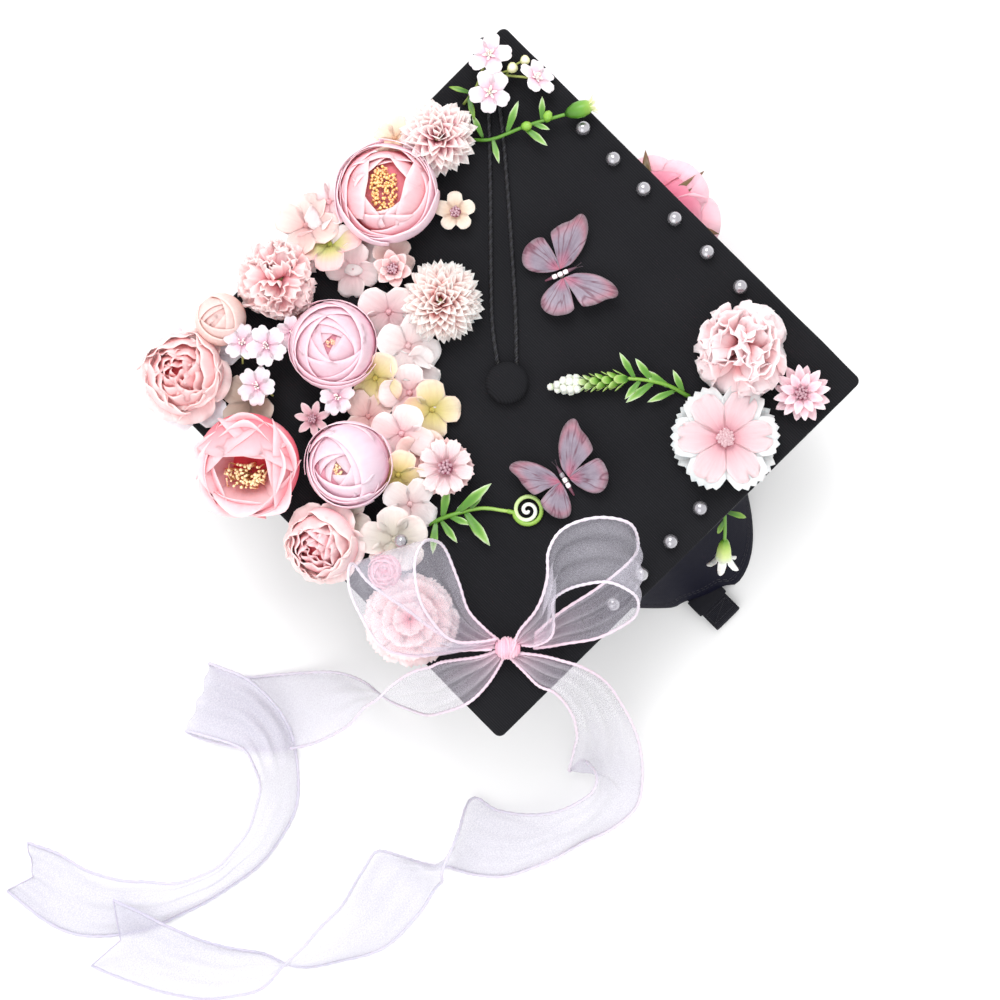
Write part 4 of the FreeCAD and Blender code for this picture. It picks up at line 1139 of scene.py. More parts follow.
def make_side_rose():
    """Rose that hangs under the board's edge, with brown-green sepals."""
    p = Piece("side")
    M = along_axis((-101.0, -6.0, 77.0), (-0.5, 0.0, -0.87), 20)
    R, H = 31.0, 36.0
    tints = tones("e45c7e f08aa0 f7b0bf fac8d2")
    for length, width, spin, rise, curl, cup, lift in ((1.12, 1.05, 8, 52, 34, 0.3, 3.0),
                                                       (1.1, 1.0, 38, 62, 22, 0.35, 4.0)):
        flat_bloom(p, M, 6, R * length, R * width, tints, spin, 5, rise=rise, curl=curl, cup=cup, wave=1.6,
                   waves=2.2, lift=lift, root=2.0, base=0.3, nv=12)
    for i, share in enumerate((0.7, 0.55, 0.4, 0.25)):
        for j in range(5):
            wrap(p, M, 72 * j + 40 * i, R * share, 5, H * (0.88 + 0.03 * i), tints, lip=1.0 - 0.03 * i,
                 wave=0.8, waves=3, roll=0.06)
    p.kind = STEMS
    brown_green = tones("465428 606838 80543c")
    for j in range(6):
        petal(p, M, 60 * j + 14, R * 1.2, 10.0, 52, 34, brown_green, root=1.5, lift=1.6, base=0.5,
              side=0.15, power=1.3, fold=-0.25, wave=0.8, waves=1)
    lathe(p, M, [(0.5, 0.4), (4.4, 0.6), (5.2, 3.0), (6.2, 6.5), (4.0, 8.0), (0.5, 8.2)],
          [DARK_GREEN, rgb(96, 110, 50)], 14)
    under_board = 0.0775
    p.points = [Vector((q.x, q.y, min(q.z, under_board))) for q in p.points]
    p.finish("rose_side_bloom", [PETAL, GREEN], "cap", ["rose_side"], "petal_rose", 0.22)


make_side_rose()


# ---------------------------------------------------------------- sprigs

SPRIG_Z = BOARD_Z + 5.0
TIPPED = [DARK_GREEN, LEAF_GREEN, LEAF_GREEN, rgb(96, 150, 48), rgb(140, 184, 86), rgb(228, 236, 214)]

# the scene's own millimetres, with no shift or turn
FLAT = spot(0, 0, 0)


def sprig_leaf(p, x, y, z, heading, length, width, tints=TIPPED, rise=22, curl=36):
    """Narrow folded leaf that starts at x, y, z."""
    petal(p, spot(x, y, z), heading, length, width, rise, curl, tints, root=0.0, fold=0.35, base=0.12,
          side=0.12, power=1.35, nu=8, nv=6)


def sprig_leaves(p, places):
    """Leaves at (x, y, z, heading, length, width)."""
    for place in places:
        sprig_leaf(p, *place)


def make_sprig_buds():
    """Leafy stem that ends in one large bud."""
    p = Piece("buds")
    green = [LEAF_GREEN, rgb(100, 154, 44)]
    stem = [(-70.5, -92.0, BOARD_Z + 1.5), (-78.0, -84.0, SPRIG_Z), (-94.0, -76.5, SPRIG_Z + 2),
            (-112.0, -66.0, SPRIG_Z + 4)]
    tube(p, curve_through(stem), 0.75, green, 7, FLAT)
    sprig_leaves(p, (
        (-92.0, -77.4, SPRIG_Z + 1.4, 96.0, 15.0, 5.5), (-84.0, -81.0, SPRIG_Z + 0.8, 205.0, 17.0, 5.5),
        (-100.0, -73.0, SPRIG_Z + 2.2, 225.0, 12.0, 4.6), (-78.0, -84.5, SPRIG_Z, 60.0, 13.0, 4.5),
        (-75.0, -88.0, SPRIG_Z - 2, 250.0, 13.0, 4.5), (-96.0, -75.5, SPRIG_Z + 2.2, 115.0, 9.0, 4.0)))
    bud = along_axis((-110.5, -66.9, SPRIG_Z + 3.9), (-13, 6.8, 1.6))
    lathe(p, bud, [(0.7, -1.0), (2.4, 1.2), (3.7, 4.5), (3.9, 7.5), (3.2, 10.5), (2.2, 12.2), (0.3, 12.8)],
          [DARK_GREEN, LEAF_GREEN, rgb(100, 158, 46), LIME, rgb(214, 224, 150)], 16,
          lambda a, u: 0.05 * math.sin(5 * a))
    for j in range(5):
        petal(p, bud, 72 * j, 11.5, 4.6, 74, -22, [DARK_GREEN, LEAF_GREEN, rgb(130, 190, 70), LIME],
              root=1.0, lift=0.0, side=0.3, power=1.5, cup=0.4)
    for j in range(6):
        petal(p, bud, 60 * j, 4.4, 2.4, 60, 20, [LIME, rgb(226, 232, 170), rgb(248, 246, 214)], root=2.0,
              lift=11.0, side=0.3, power=1.5, cup=0.3)
    for x, y, z, direction in ((-91.5, -78.0, SPRIG_Z + 2.0, (-5, 4.5, 4.0)),
                               (-101.5, -71.5, SPRIG_Z + 3, (-4, -2, 3))):
        small = along_axis((x, y, z), direction)
        lathe(p, small, [(0.5, -0.6), (1.7, 0.8), (2.2, 2.6), (1.6, 4.4), (0.2, 5.4)],
              [LEAF_GREEN, rgb(140, 194, 70), LIME], 12)
    p.finish("sprig_buds_stem", [GREEN], "cap", ["sprig_buds"], "greenery", 0.2)


def make_sprig_blossoms():
    """Forked stem with three blossoms and two round buds."""
    p = Piece("blossoms")
    z = SPRIG_Z
    olive = tones("788c3c b0b860")
    p.kind = STEMS
    heads = ((-104.4, -113.0, z + 4, 10, 230, 0, 10.6), (-92.1, -100.0, z + 4.5, 6, 90, 36, 10.6),
             (-112.2, -89.7, z + 3, 42, 170, 12, 9.8))
    stems = (
        (0.6, [(-80.0, -106.5, BOARD_Z + 1.6), (-90.0, -107.5, z), (-97.0, -110.5, z + 2),
               (-104.4, -113.0, z + 3.6)]),
        (0.5, [(-88.0, -107.4, z - 0.5), (-91.5, -103.0, z + 2), (-92.1, -100.0, z + 4)]),
        (0.5, [(-96.0, -110.2, z + 1.6), (-103.5, -101.0, z + 1.5), (-112.2, -89.7, z + 3)]),
        (0.4, [(-100.0, -105.3, z + 1.4), (-104.5, -102.0, z + 3.5), (-107.8, -100.7, z + 4.5)]),
        (0.4, [(-103.5, -101.2, z + 1.6), (-110.0, -101.0, z + 3.0), (-114.6, -99.2, z + 4)]),
    )
    for radius, points in stems:
        tube(p, curve_through(points), radius, olive, 6, FLAT)
    for x, y, h, r in ((-107.8, -100.7, z + 4.5, 2.5), (-114.6, -99.2, z + 4, 2.2)):
        ring = [(0.3, -r), (r * 0.9, -0.5 * r), (r, 0.3 * r), (r * 0.6, 0.9 * r), (0.1, 1.2 * r)]
        lathe(p, spot(x, y, h), ring, tones("a0b050 e2e2a0 fcf0ec"), 12,
              lambda a, u: 0.07 * math.sin(3 * a + 4 * u))
    sprig_leaf(p, -84.0, -107.0, z - 1, 60, 12, 4.5, [DARK_GREEN, LEAF_GREEN, LIME])
    sprig_leaf(p, -86.0, -107.4, z - 0.5, 300, 11, 4.0, [DARK_GREEN, LEAF_GREEN, LIME])
    p.kind = PETALS
    for x, y, h, lean, heading, spin, size in heads:
        M = spot(x, y, h, lean, heading, spin)
        flat_bloom(p, M, 5, size, size * 0.86, tones("eca6c0 f4cedb f4e2e9 f3e8ed"), 0, 9,
                   rise=22, curl=24, cup=0.3, notch=0.06, side=0.45, base=0.24, lift=0.0, nu=7, nv=10)
        for j in range(5):
            petal(p, M, 72 * j + 36, size * 0.32, size * 0.16, 30, 10, [WHITE, rgb(255, 250, 240), WHITE],
                  lift=0.6, side=0.3, power=1.5)
        stamens(p, M, 0.3, size * 0.32, size * 0.16, 8, [rgb(250, 236, 240), WHITE, rgb(248, 236, 190)], 0.3)
    p.finish("sprig_blossom_heads", [SILK, GREEN, BEAD], "cap", ["sprig_blossoms"], "greenery", 0.2)


def make_sprig_fern():
    """Leafy stem that ends in a flat spiral."""
    p = Piece("fern")
    low = BOARD_Z
    path = curve_through([(72.5, 24.5, low + 1.4), (62.0, 29.0, low + 4.6), (49.6, 36.6, low + 3.4),
                          (41.5, 46.5, low + 2.4)], 8)
    tube(p, path, [1.0 - 0.25 * i / len(path) for i in range(len(path))],
         [LEAF_GREEN, rgb(108, 160, 48), rgb(176, 210, 110)], 7, FLAT)
    sprig_leaves(p, ((66.0, 27.4, low + 3.6, 215, 17, 6.5), (67.0, 27.0, low + 3.4, 82, 14, 5.5),
                     (60.0, 30.0, low + 4.4, 175, 23, 7.5), (56.0, 32.2, low + 4.2, 82, 21, 8.0),
                     (54.0, 33.6, low + 4.0, 190, 12, 5.0), (69.0, 26.0, low + 3, 40, 16, 6.0),
                     (63.0, 28.6, low + 4.0, 115, 12, 5.0)))
    centre = Vector((34.5, 52.8, low + 1.9))
    start = math.atan2(46.5 - 52.8, 41.5 - 34.5)
    turns = []
    for i in range(76):
        k = i / 75
        a = start + 0.12 + k * 2.35 * TAU
        r = 9.0 * (1 - k) ** 0.85 * (0.72 + 0.28 * (1 - k)) + 0.5
        r = min(r, 6.6)
        turns.append(centre + Vector((r * math.cos(a), r * math.sin(a), 0.5 * k)))
    run = [Vector((41.5, 46.5, low + 2.4))] + turns
    tube(p, run, [1.0 - 0.25 * i / len(run) for i in range(len(run))],
         [rgb(136, 180, 66), rgb(150, 188, 78), rgb(206, 226, 160), rgb(244, 248, 236), WHITE, WHITE], 8,
         FLAT)
    p.finish("sprig_fern_spiral", [GREEN], "cap", ["sprig_fern"], "greenery", 0.2)


def make_sprig_spike():
    """Spike of green scales that ends in white buds."""
    p = Piece("spike")
    z = SPRIG_Z
    start, end = Vector((-43.5, 43.0, z + 1)), Vector((-15.5, 20.3, z + 1))
    path = curve_through([(-57.5, 68.5, BOARD_Z + 1.4), (-53.0, 56.0, z), (-43.5, 43.0, z + 1),
                          (-30.0, 31.0, z + 1.6), (-17.0, 21.3, z + 1)], 6)
    tube(p, path, [0.95 - 0.35 * i / len(path) for i in range(len(path))],
         [LEAF_GREEN, rgb(118, 168, 54), LIME, WHITE], 7, FLAT)
    along = (end - start).normalized()
    for i in range(8):
        k = i / 11
        spine = start + (end - start) * (0.02 + 0.94 * k) + Vector((0, 0, 0.5 * math.sin(math.pi * k)))
        size = 8.6 - 3.0 * k
        pale = smooth(0.3, 0.8, k)
        shade = [mix(DARK_GREEN, rgb(170, 196, 110), pale), mix(LEAF_GREEN, rgb(196, 214, 140), pale),
                 mix(rgb(130, 180, 70), rgb(226, 234, 190), pale), mix(rgb(186, 210, 130), WHITE, pale)]
        for j in range(4):
            M = along_axis(spine, along, 90 * j + 47 * i)
            petal(p, M, 0, size, size * 0.6, 46, -18, shade, root=0.3, side=0.35, power=1.9, cup=0.55, nu=6,
                  nv=8)
    across, up = along.cross(Vector((0, 0, 1))).normalized(), Vector((0, 0, 1))
    for i, (reach, size, number) in enumerate(((2.6, 2.0, 5), (2.9, 2.1, 5), (2.5, 1.9, 4), (1.6, 1.7, 3),
                                               (0.0, 1.6, 1))):
        spine = start + (end - start) * (0.7 + 0.085 * i)
        for j in range(number):
            a = TAU * j / number + 1.1 * i
            M = along_axis(spine + (across * math.cos(a) + up * math.sin(a)) * reach,
                           along + (across * math.cos(a) + up * math.sin(a)) * 0.5, 40 * j)
            ring = [(0.1, -size), (0.8 * size, -0.6 * size), (size, 0.1 * size), (0.8 * size, 0.8 * size),
                    (0.1, 1.05 * size)]
            lathe(p, M, ring, tones("c4d2a0 e8eae2 ecece8"), 12, lambda a, u: 0.1 * abs(math.sin(1.5 * a)))
    sprig_leaves(p, ((-54.0, 59.0, z - 1, 284, 17, 6.0), (-55.0, 62.0, z - 1.6, 338, 15, 5.0),
                     (-56.5, 66.0, z - 3, 250, 13, 5.0), (-50.0, 51.5, z + 0.4, 262, 14, 5.5),
                     (-50.5, 52.0, z + 0.2, 352, 17, 6.0), (-45.0, 45.0, z + 1, 256, 15, 5.0),
                     (-46.5, 47.0, z + 1, 6, 12, 5.0)))
    p.finish("sprig_spike_head", [GREEN], "cap", ["sprig_spike"], "greenery", 0.18)


def make_sprig_bell():
    """Bell flower that hangs off the board's rear edge."""
    p = Piece("bell")
    path = curve_through([(-37.0, 112.0, 76.8), (-30.5, 119.5, 74.0), (-25.5, 125.0, 67.0),
                          (-22.2, 128.3, 61.0)], 6)
    tube(p, path, 0.8, [LEAF_GREEN, rgb(110, 162, 50)], 7, FLAT)
    M = along_axis((-22.2, 128.3, 61.0), (0.52, 0.5, -0.72), 10)
    ring = [(0.5, -0.8), (1.7, 0.6), (2.6, 2.6), (3.2, 5.5), (3.5, 9.0), (3.9, 12.0), (3.5, 12.1),
            (2.9, 9.0), (0.3, 8.6)]
    tints = [LEAF_GREEN, rgb(132, 176, 58), rgb(190, 214, 110), rgb(216, 230, 160), WHITE, WHITE, LIME]
    lathe(p, M, ring, tints, 20, lambda a, u: 0.05 * math.sin(5 * a))
    for j in range(5):
        petal(p, M, 72 * j + 20, 8.0, 4.6, 84, 76, [rgb(226, 236, 190), WHITE, WHITE, WHITE], root=3.2,
              lift=10.6, side=0.35, power=1.7, cup=0.3, base=0.8, fold=0.1)
        petal(p, M, 72 * j + 56, 5.0, 2.2, 76, 10, [DARK_GREEN, LEAF_GREEN, rgb(170, 206, 96)], root=1.3,
              lift=0.4, side=0.2, power=1.4, cup=0.3)
    stamens(p, M, 6.0, 15.0, 1.2, 6, [LIME, rgb(244, 244, 210), WHITE], 0.5, kind=PETALS)
    sprig_leaf(p, -31.5, 118.5, 74.5, 120, 13, 4.5, [DARK_GREEN, LEAF_GREEN, LIME], 0, 60)
    sprig_leaf(p, -29.5, 121.0, 72.0, 20, 11, 4.0, [DARK_GREEN, LEAF_GREEN, LIME], -10, 60)
    p.finish("sprig_bell_flower", [GREEN], "cap", ["sprig_bell"], "greenery", 0.18)


make_sprig_buds()
make_sprig_blossoms()
make_sprig_fern()
make_sprig_spike()
make_sprig_bell()


# ---------------------------------------------------------------- butterflies

FOREWING = [(1.5, 0.2), (7.0, 0.6), (14.5, 5.0), (19.5, 11.0), (21.2, 15.5), (21.0, 19.0), (19.0, 20.4),
            (14.5, 19.4), (9.5, 19.6), (4.2, 18.4), (2.8, 16.4), (2.2, 11.5), (1.0, 5.0), (0.4, 0.6)]
HINDWING = [(1.2, 0.6), (0.8, 8.0), (-0.2, 14.5), (-1.0, 17.2), (-3.5, 18.2), (-6.5, 17.9), (-10.5, 16.4),
            (-13.6, 13.0), (-14.6, 9.0), (-13.0, 5.4), (-9.5, 2.8), (-4.5, 0.8), (-1.2, 0.2)]
WING_ROOT = 2.1

# how far each wing is swept back, in degrees, and its span against the outline
WING_SET = {("upper", "left"): (0, 1.0), ("upper", "right"): (0, 1.0),
            ("lower", "left"): (7, 0.8), ("lower", "right"): (-7, 1.0)}
BODY_Z = BOARD_Z + 2.6


def wing_sheet(p, M, outline, side, lift, root, tip, turn, reach):
    """Half of a wing from its root to its outline, printed darker and redder towards the rim."""
    c, s = math.cos(math.radians(turn)), math.sin(math.radians(turn))
    rim = curve_through([(c * x - s * y * reach, s * x + c * y * reach, 0) for x, y in outline], 4)
    n = len(rim) - 1
    rise = math.radians(18.0)
    for_tip = max(range(n + 1), key=lambda i: (rim[i] - Vector((*root, 0))).length)

    def at(u, v):
        edge = rim[round(v * n)]
        flat = Vector((*root, 0)) + (edge - Vector((*root, 0))) * u
        free = smooth(0.0, 5.0, flat.y)
        ripple = free * (0.35 * math.sin(v * 19.0) * u + math.sin(math.pi * u * 0.8))
        out, z = flat.y * math.cos(rise), flat.y * math.sin(rise) + ripple + lift * (0.4 + 0.6 * free)
        near_tip = math.exp(-(((v * n - for_tip) / (0.24 * n)) ** 2))
        colour = ramp(tones("b0164a 963c60 685266 726274 78687a"), u * 1.25)
        colour = mix(colour, rgb(150, 34, 60), (0.45 + 0.5 * tip * near_tip) * smooth(0.66, 0.95, u))
        colour = mix(colour, rgb(60, 12, 28), 0.9 * smooth(0.9, 0.96, u))
        return M @ Vector((flat.x, side * (WING_ROOT + out), z)), colour

    p.grid(16, n, at)


def make_butterfly(name, x, y, heading):
    """Two wings that flap about a body of three beads."""
    M = spot(x, y, BODY_Z, 0, 0, heading)
    for label, side in (("left", 1), ("right", -1)):
        p = Piece(name + label)
        turn, reach = WING_SET[name, label]
        wing_sheet(p, M, HINDWING, side, 0.0, (0.2, 0.2), 0.4, turn, reach)
        wing_sheet(p, M, FOREWING, side, 0.45, (0.6, 0.2), 1.0, turn, reach)
        p.finish(f"butterfly_{name}_wing_{label}_sheet", [WING], f"{name}_wing_{label}",
                 [f"butterfly_{name}_wing_{label}"], "wing_organza", 0.14)
    p = Piece(name)
    clear, dark = rgb(246, 240, 240), rgb(92, 88, 96)
    hearts = {"upper": ((-3.2, clear), (-0.4, clear), (2.4, clear)),
              "lower": ((-2.6, clear), (0.3, clear), (3.0, dark))}
    for along, tint in hearts[name]:
        lathe(p, M @ Matrix.Translation((along - 1.3, 0, 0.4)) @ Matrix.Rotation(math.pi / 2, 4, "Y"),
              [(0.3, 0.0), (1.0, 0.15), (1.2, 0.8), (1.2, 1.8), (1.0, 2.45), (0.3, 2.6)], tint, 10)
    p.kind = STEMS
    tube(p, [(-8.0, 0, 0.0), (-4.0, 0, 0.3), (4.5, 0, 0.3), (8.0, 0, 0.1)], [0.4, 0.9, 0.9, 0.4],
         tones("783c50 584654"), 8, M)
    tube(p, [(0, 0, -2.6), (0, 0, -1.2), (0, 0, 0.2)], [1.9, 1.2, 1.0], tones("d6d2c8 967882"), 10, M)
    for side in (1, -1):
        feeler = curve_through([(7.4, 0.2 * side, 0.2), (9.0, 0.5 * side, 0.8), (10.8, 0.9 * side, 1.0)], 4)
        tube(p, feeler, 0.16, tones("46323c 3c2c36"), 5, M)
        bead(p, M, (10.8, 0.9 * side, 1.0), 0.32, rgb(60, 44, 54), 6)
    p.finish(f"butterfly_{name}_beads", [BEAD, GREEN], "cap", [f"butterfly_{name}_body"], "bead")


make_butterfly("upper", -55.5, -15.7, 158.6)
make_butterfly("lower", 12.0, 55.5, 256.0)


# ---------------------------------------------------------------- pearls and glue

def make_pearls():
    """Row of half-round pearls along two edges, and one whole pearl in a bloom."""
    p = Piece()
    for x, y in ((-111.8, -57.6), (-111.5, -37.0), (-111.5, -16.7), (-111.9, 3.8), (-111.4, 25.9),
                 (-110.8, 48.6), (-23.9, 109.4), (-3.0, 110.8), (17.6, 112.0), (36.9, 112.5)):
        r = 3.5
        ring = [(0.9 * r, -0.86 * r)] + [(r * math.cos(a), r * math.sin(a))
                                         for a in (math.radians(-50 + 140 * i / 12) for i in range(13))]
        ring[-1] = (0.02, r)
        lathe(p, spot(x, y, BOARD_Z + 3.1), ring, rgb(240, 236, 232), 24)
    p.finish("pearl_studs", [PEARL], "cap", ["pearls"], "pearl")
    p = Piece()
    ring = [(0.05, -3.3), (1.7, -2.9), (2.9, -1.7), (3.3, 0.0), (2.9, 1.7), (1.7, 2.9), (0.05, 3.3)]
    lathe(p, spot(86.7, 21.8, 95.5), ring, rgb(240, 236, 232), 20)
    p.finish("pearl_in_bloom", [PEARL], "cap", (), "pearl")


make_pearls()


def dress(node, material, slot):
    """Gives a carried-over CAD node its procedural material."""
    mesh = NODES[node].data
    mesh.materials.clear()
    mesh.materials.append(material)
    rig.slot(NODES[node], slot)


dress("board_core", CARD, "card")
dress("glue_dabs", GLUE, "glue")


# ---------------------------------------------------------------- board

def square_ring(half, corner, per_side=30, per_corner=6):
    """Points round a square with rounded corners, the same number whatever its size."""
    flat = half - corner
    points = []
    for turn in range(4):
        a = math.pi / 2 * turn
        c, s = math.cos(a), math.sin(a)
        local = [(half, -flat + 2 * flat * i / per_side) for i in range(per_side)]
        local += [(flat + corner * math.cos(math.pi / 2 * i / per_corner),
                   flat + corner * math.sin(math.pi / 2 * i / per_corner)) for i in range(per_corner)]
        points += [(x * c - y * s, x * s + y * c) for x, y in local]
    return points


def board_sheet(p, rings):
    """Skin of the board from (inset, height) rings."""
    half = BOARD_HALF
    loops = [(square_ring(half - inset, BOARD_CORNER * (half - inset) / half), z) for inset, z in rings]
    n, m = len(rings) - 1, len(loops[0][0])

    def at(u, v):
        ring, z = loops[round(u * n)]
        x, y = ring[round(v * m) % m]
        edge = smooth(0.75, 1.0, max(abs(x), abs(y)) / half)
        swell = noise.noise(Vector((x, y, z)) * 0.012) * 0.25
        swell += noise.noise(Vector((x, y, 7.0)) * 0.05) * 0.1 * edge
        side = noise.noise(Vector((x, y, 3.0)) * 0.06) * 0.25 * edge
        grow = 1 + side / half
        return Vector((x * grow, y * grow, z + swell)) * 0.001, BLACK

    p.grid(n, m, at, closed=True)


def make_board():
    """Cloth on the top, cloth under it, and the seam between them."""
    top, low = BOARD_Z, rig.box("board_bottom_cover")[0].z * 1000
    p = Piece()
    board_sheet(p, [(119.5 - 117.5 * math.sin(math.pi / 2 * i / 34), top) for i in range(35)]
                + [(1.2, top - 0.05), (0.6, top - 0.3), (0.2, top - 0.8), (0.0, top - 1.6),
                   (0.0, top - 2.8), (0.15, low + 0.9)])
    p.finish("board_cloth_top", [TWILL], "cap", ["board_top_cover"], "board_cloth", 0.5)
    p = Piece()
    board_sheet(p, [(0.3, low + 0.8), (0.5, low + 0.35), (1.2, low + 0.15)]
                + [(2.0 + 116.5 * i / 16, low + 0.2) for i in range(17)])
    p.finish("board_cloth_bottom", [TWILL], "cap", ["board_bottom_cover"], "board_cloth", 0.4)
    p = Piece()
    run = [Vector((x, y, low + 0.85)) * 0.001 for x, y in square_ring(BOARD_HALF - 0.1, BOARD_CORNER, 60, 8)]
    tube(p, run + run[:1], 0.0004, rgb(40, 40, 46), 6, cap=False)
    p.finish("board_seam", [STITCH_AND_HIGHLIGHT], "cap", (), "board_cloth")


make_board()


# ---------------------------------------------------------------- skull cap

SKULL_NODES = {"front": (225, 315), "left": (-45, 45), "rear": (45, 135), "right": (135, 225)}
STRAP_LOW, STRAP_HIGH = box_mm("adjuster_strap")
CENTRE_Y = 12.0


def bridge(row):
    """Fills the gaps of a closed row with values between those at their ends."""
    steps = len(row)
    known = [i for i in range(steps) if row[i] is not None]
    for i in range(steps):
        if row[i] is None:
            before = max((k for k in known if k < i), default=known[-1] - steps)
            after = min((k for k in known if k > i), default=known[0] + steps)
            t = (i - before) / (after - before)
            row[i] = row[before % steps] * (1 - t) + row[after % steps] * t
    return row


def skull_profile(levels, steps):
    """Outer radius of the skull cap's solids, level by level, bridged over the strap's slot."""
    outside, inside = 0.3, 0.055
    trees = []
    for name in SKULL_NODES:
        mesh = NODES["skull_panel_" + name].data
        trees.append(BVHTree.FromPolygons([v.co for v in mesh.vertices],
                                          [p.vertices[:] for p in mesh.polygons]))
    rows = []
    for z in levels:
        row = []
        for i in range(steps):
            a = TAU * (i + 0.003) / steps
            out = Vector((math.cos(a), math.sin(a), 0))
            start = Vector((0, CENTRE_Y * 0.001, z * 0.001)) + out * outside
            hits = [tree.ray_cast(start, -out, 0.26) for tree in trees]
            reach = [outside - h[3] for h in hits if h[0] is not None]
            row.append(max(reach) * 1000 if reach and max(reach) > inside else None)
        rows.append(bridge(row))
    return rows


SPANS = 20
LEVELS = [0.6 + (77.4 - 0.6) * i / SPANS for i in range(SPANS + 1)]
STEPS = 240
PROFILE = skull_profile(LEVELS, STEPS)


def skull_radius(degrees, z):
    """Outer radius of the skull cap in millimetres, between the measured rows and columns."""
    column = (degrees % 360) / 360 * STEPS
    row = max(0.0, min(SPANS - 0.001, (z - LEVELS[0]) / (LEVELS[-1] - LEVELS[0]) * SPANS))
    i, k = int(column), int(row)
    across, up = column - i, row - k
    low = PROFILE[k][i % STEPS] * (1 - across) + PROFILE[k][(i + 1) % STEPS] * across
    high = PROFILE[k + 1][i % STEPS] * (1 - across) + PROFILE[k + 1][(i + 1) % STEPS] * across
    return low * (1 - up) + high * up


HEM_REST = 0.35
HEM_LIFT = 6.6


def hem_height(degrees):
    """The hem lies on the table, and lifts over the strap at the rear."""
    if math.sin(math.radians(degrees)) < 0:
        return HEM_REST
    x = skull_radius(degrees, 3.0) * math.cos(math.radians(degrees))
    off = abs(x - (STRAP_LOW.x + STRAP_HIGH.x) / 2)
    return HEM_REST + HEM_LIFT * (1 - smooth(9.0, 16.0, off))


def outward(degrees):
    """Level direction away from the skull cap's middle."""
    a = math.radians(degrees)
    return Vector((math.cos(a), math.sin(a), 0))


def skull_point(degrees, z, inward=0.0):
    """Point on the skull cap's outside, or inward millimetres inside it."""
    return outward(degrees) * (skull_radius(degrees, z) - inward) + Vector((0, CENTRE_Y, z))


def stitches(p, place, start, stop, radius, tint):
    """Row of 360 stitches, each from start to stop of its degree, where place gives a point at an angle."""
    for i in range(360):
        a, b = place(i + start), place(i + stop)
        tube(p, [a, (a + b) / 2, b], radius, tint, 4)


def fold(degrees, z):
    """Soft folds of the cloth, in millimetres outwards."""
    a = math.radians(degrees)
    c, s = math.cos(a), math.sin(a)
    high = z / 78
    slow = noise.noise(Vector((2.3 * c, 2.3 * s, 0.9 * high + 4)))
    fine = noise.noise(Vector((6.5 * c, 6.5 * s, 2.0 * high + 9)))
    gather = math.sin(58 * a + 2.5 * noise.noise(Vector((5 * c, 5 * s, 1)))) * smooth(0.72, 1.0, high)
    return 0.55 + (1.5 * slow + 0.6 * fine) * math.sin(math.pi * min(1.0, high * 0.9 + 0.1)) + 0.4 * gather


def make_skull_cap():
    """Four stitched panels, each with its own folds, and a double row of hem stitches."""
    top = 77.7
    for name, (start, stop) in SKULL_NODES.items():
        p = Piece()

        def at(u, v):
            degrees = start + (stop - start) * v
            hem = hem_height(degrees)
            z = hem + (top - hem) * u
            seam = math.exp(-((min(v, 1 - v) * 90 / 0.9) ** 2)) * 0.5
            roll = 0.6 * math.exp(-(((z - hem) / 1.6) ** 2))
            point = skull_point(degrees, z) + outward(degrees) * (fold(degrees, z) + seam + roll)
            return point * 0.001, BLUE_BLACK

        p.grid(34, 72, at)
        p.finish(f"skull_cloth_{name}", [SKULL], "cap", [f"skull_panel_{name}"], "skull_cloth", 0.9)
    p = Piece()
    for row in (4.2, 5.8):

        def place(degrees):
            z = hem_height(degrees) + row
            return (skull_point(degrees, z) + outward(degrees) * (fold(degrees, z) + 0.55)) * 0.001

        stitches(p, place, 0.15, 0.75, 0.00022, rgb(48, 48, 58))
    p.finish("skull_hem_stitches", [STITCH_AND_HIGHLIGHT], "cap", (), "skull_cloth")


def make_headband():
    """Band inside the rim, with two rows of stitches."""
    top = box_mm("headband")[1].z
    section = [(1.75, 0.0), (1.6, 0.5), (1.6, 1.0), (2.2, 1.03), (2.9, 1.0), (3.0, 0.7), (3.0, 0.3),
               (2.8, 0.0), (2.2, -0.02)]

    def level(degrees, share):
        """Height at a share of the band, from its lower edge to its top."""
        low = 0.5 + (hem_height(degrees) - HEM_REST)
        return low + (top - low) * share

    def at(u, v):
        degrees = 360 * u
        inward, share = section[round(v * len(section)) % len(section)]
        z = level(degrees, share)
        puff = 0.35 * math.sin(math.pi * min(1.0, max(0.0, share)))
        puff += 0.15 * noise.noise(Vector((degrees * 0.12, z * 0.2, 0)))
        return skull_point(degrees, z, inward + puff) * 0.001, BLACK

    p = Piece()
    p.grid(240, len(section), at, closed=True)
    p.finish("headband_band", [LINING], "cap", ["headband"], "lining")
    p = Piece()
    for share in (0.1, 0.9):
        stitches(p, lambda degrees: skull_point(degrees, level(degrees, share), 3.25) * 0.001, 0.1, 0.7,
                 0.0002, rgb(70, 70, 80))
    p.finish("headband_stitches", [STITCH_AND_HIGHLIGHT], "cap", (), "lining")


def make_crown_lining():
    """Pleated lining under the board."""
    p = Piece()

    def at(u, v):
        degrees = 360 * v
        r = (skull_radius(degrees, 77.0) - 3.2) * max(u, 0.01)
        a = math.radians(degrees)
        flat = Vector((r * math.cos(a), r * math.sin(a), 0))
        pleat = 0.3 * math.sin(64 * a) * smooth(0.55, 1.0, u) + 0.2 * noise.noise(flat * 0.05)
        return (flat + Vector((0, CENTRE_Y, 77.35 + pleat))) * 0.001, BLACK

    p.grid(20, 320, at, closed=True)
    p.finish("crown_lining_cloth", [LINING], "cap", ["crown_lining"], "lining", 0.3)


make_skull_cap()
make_headband()
make_crown_lining()


# ---------------------------------------------------------------- adjuster

def squared(value, power):
    """A sine or cosine drawn towards -1 and 1, which makes a round section squarer."""
    return abs(value) ** power * (1 if value > 0 else -1)


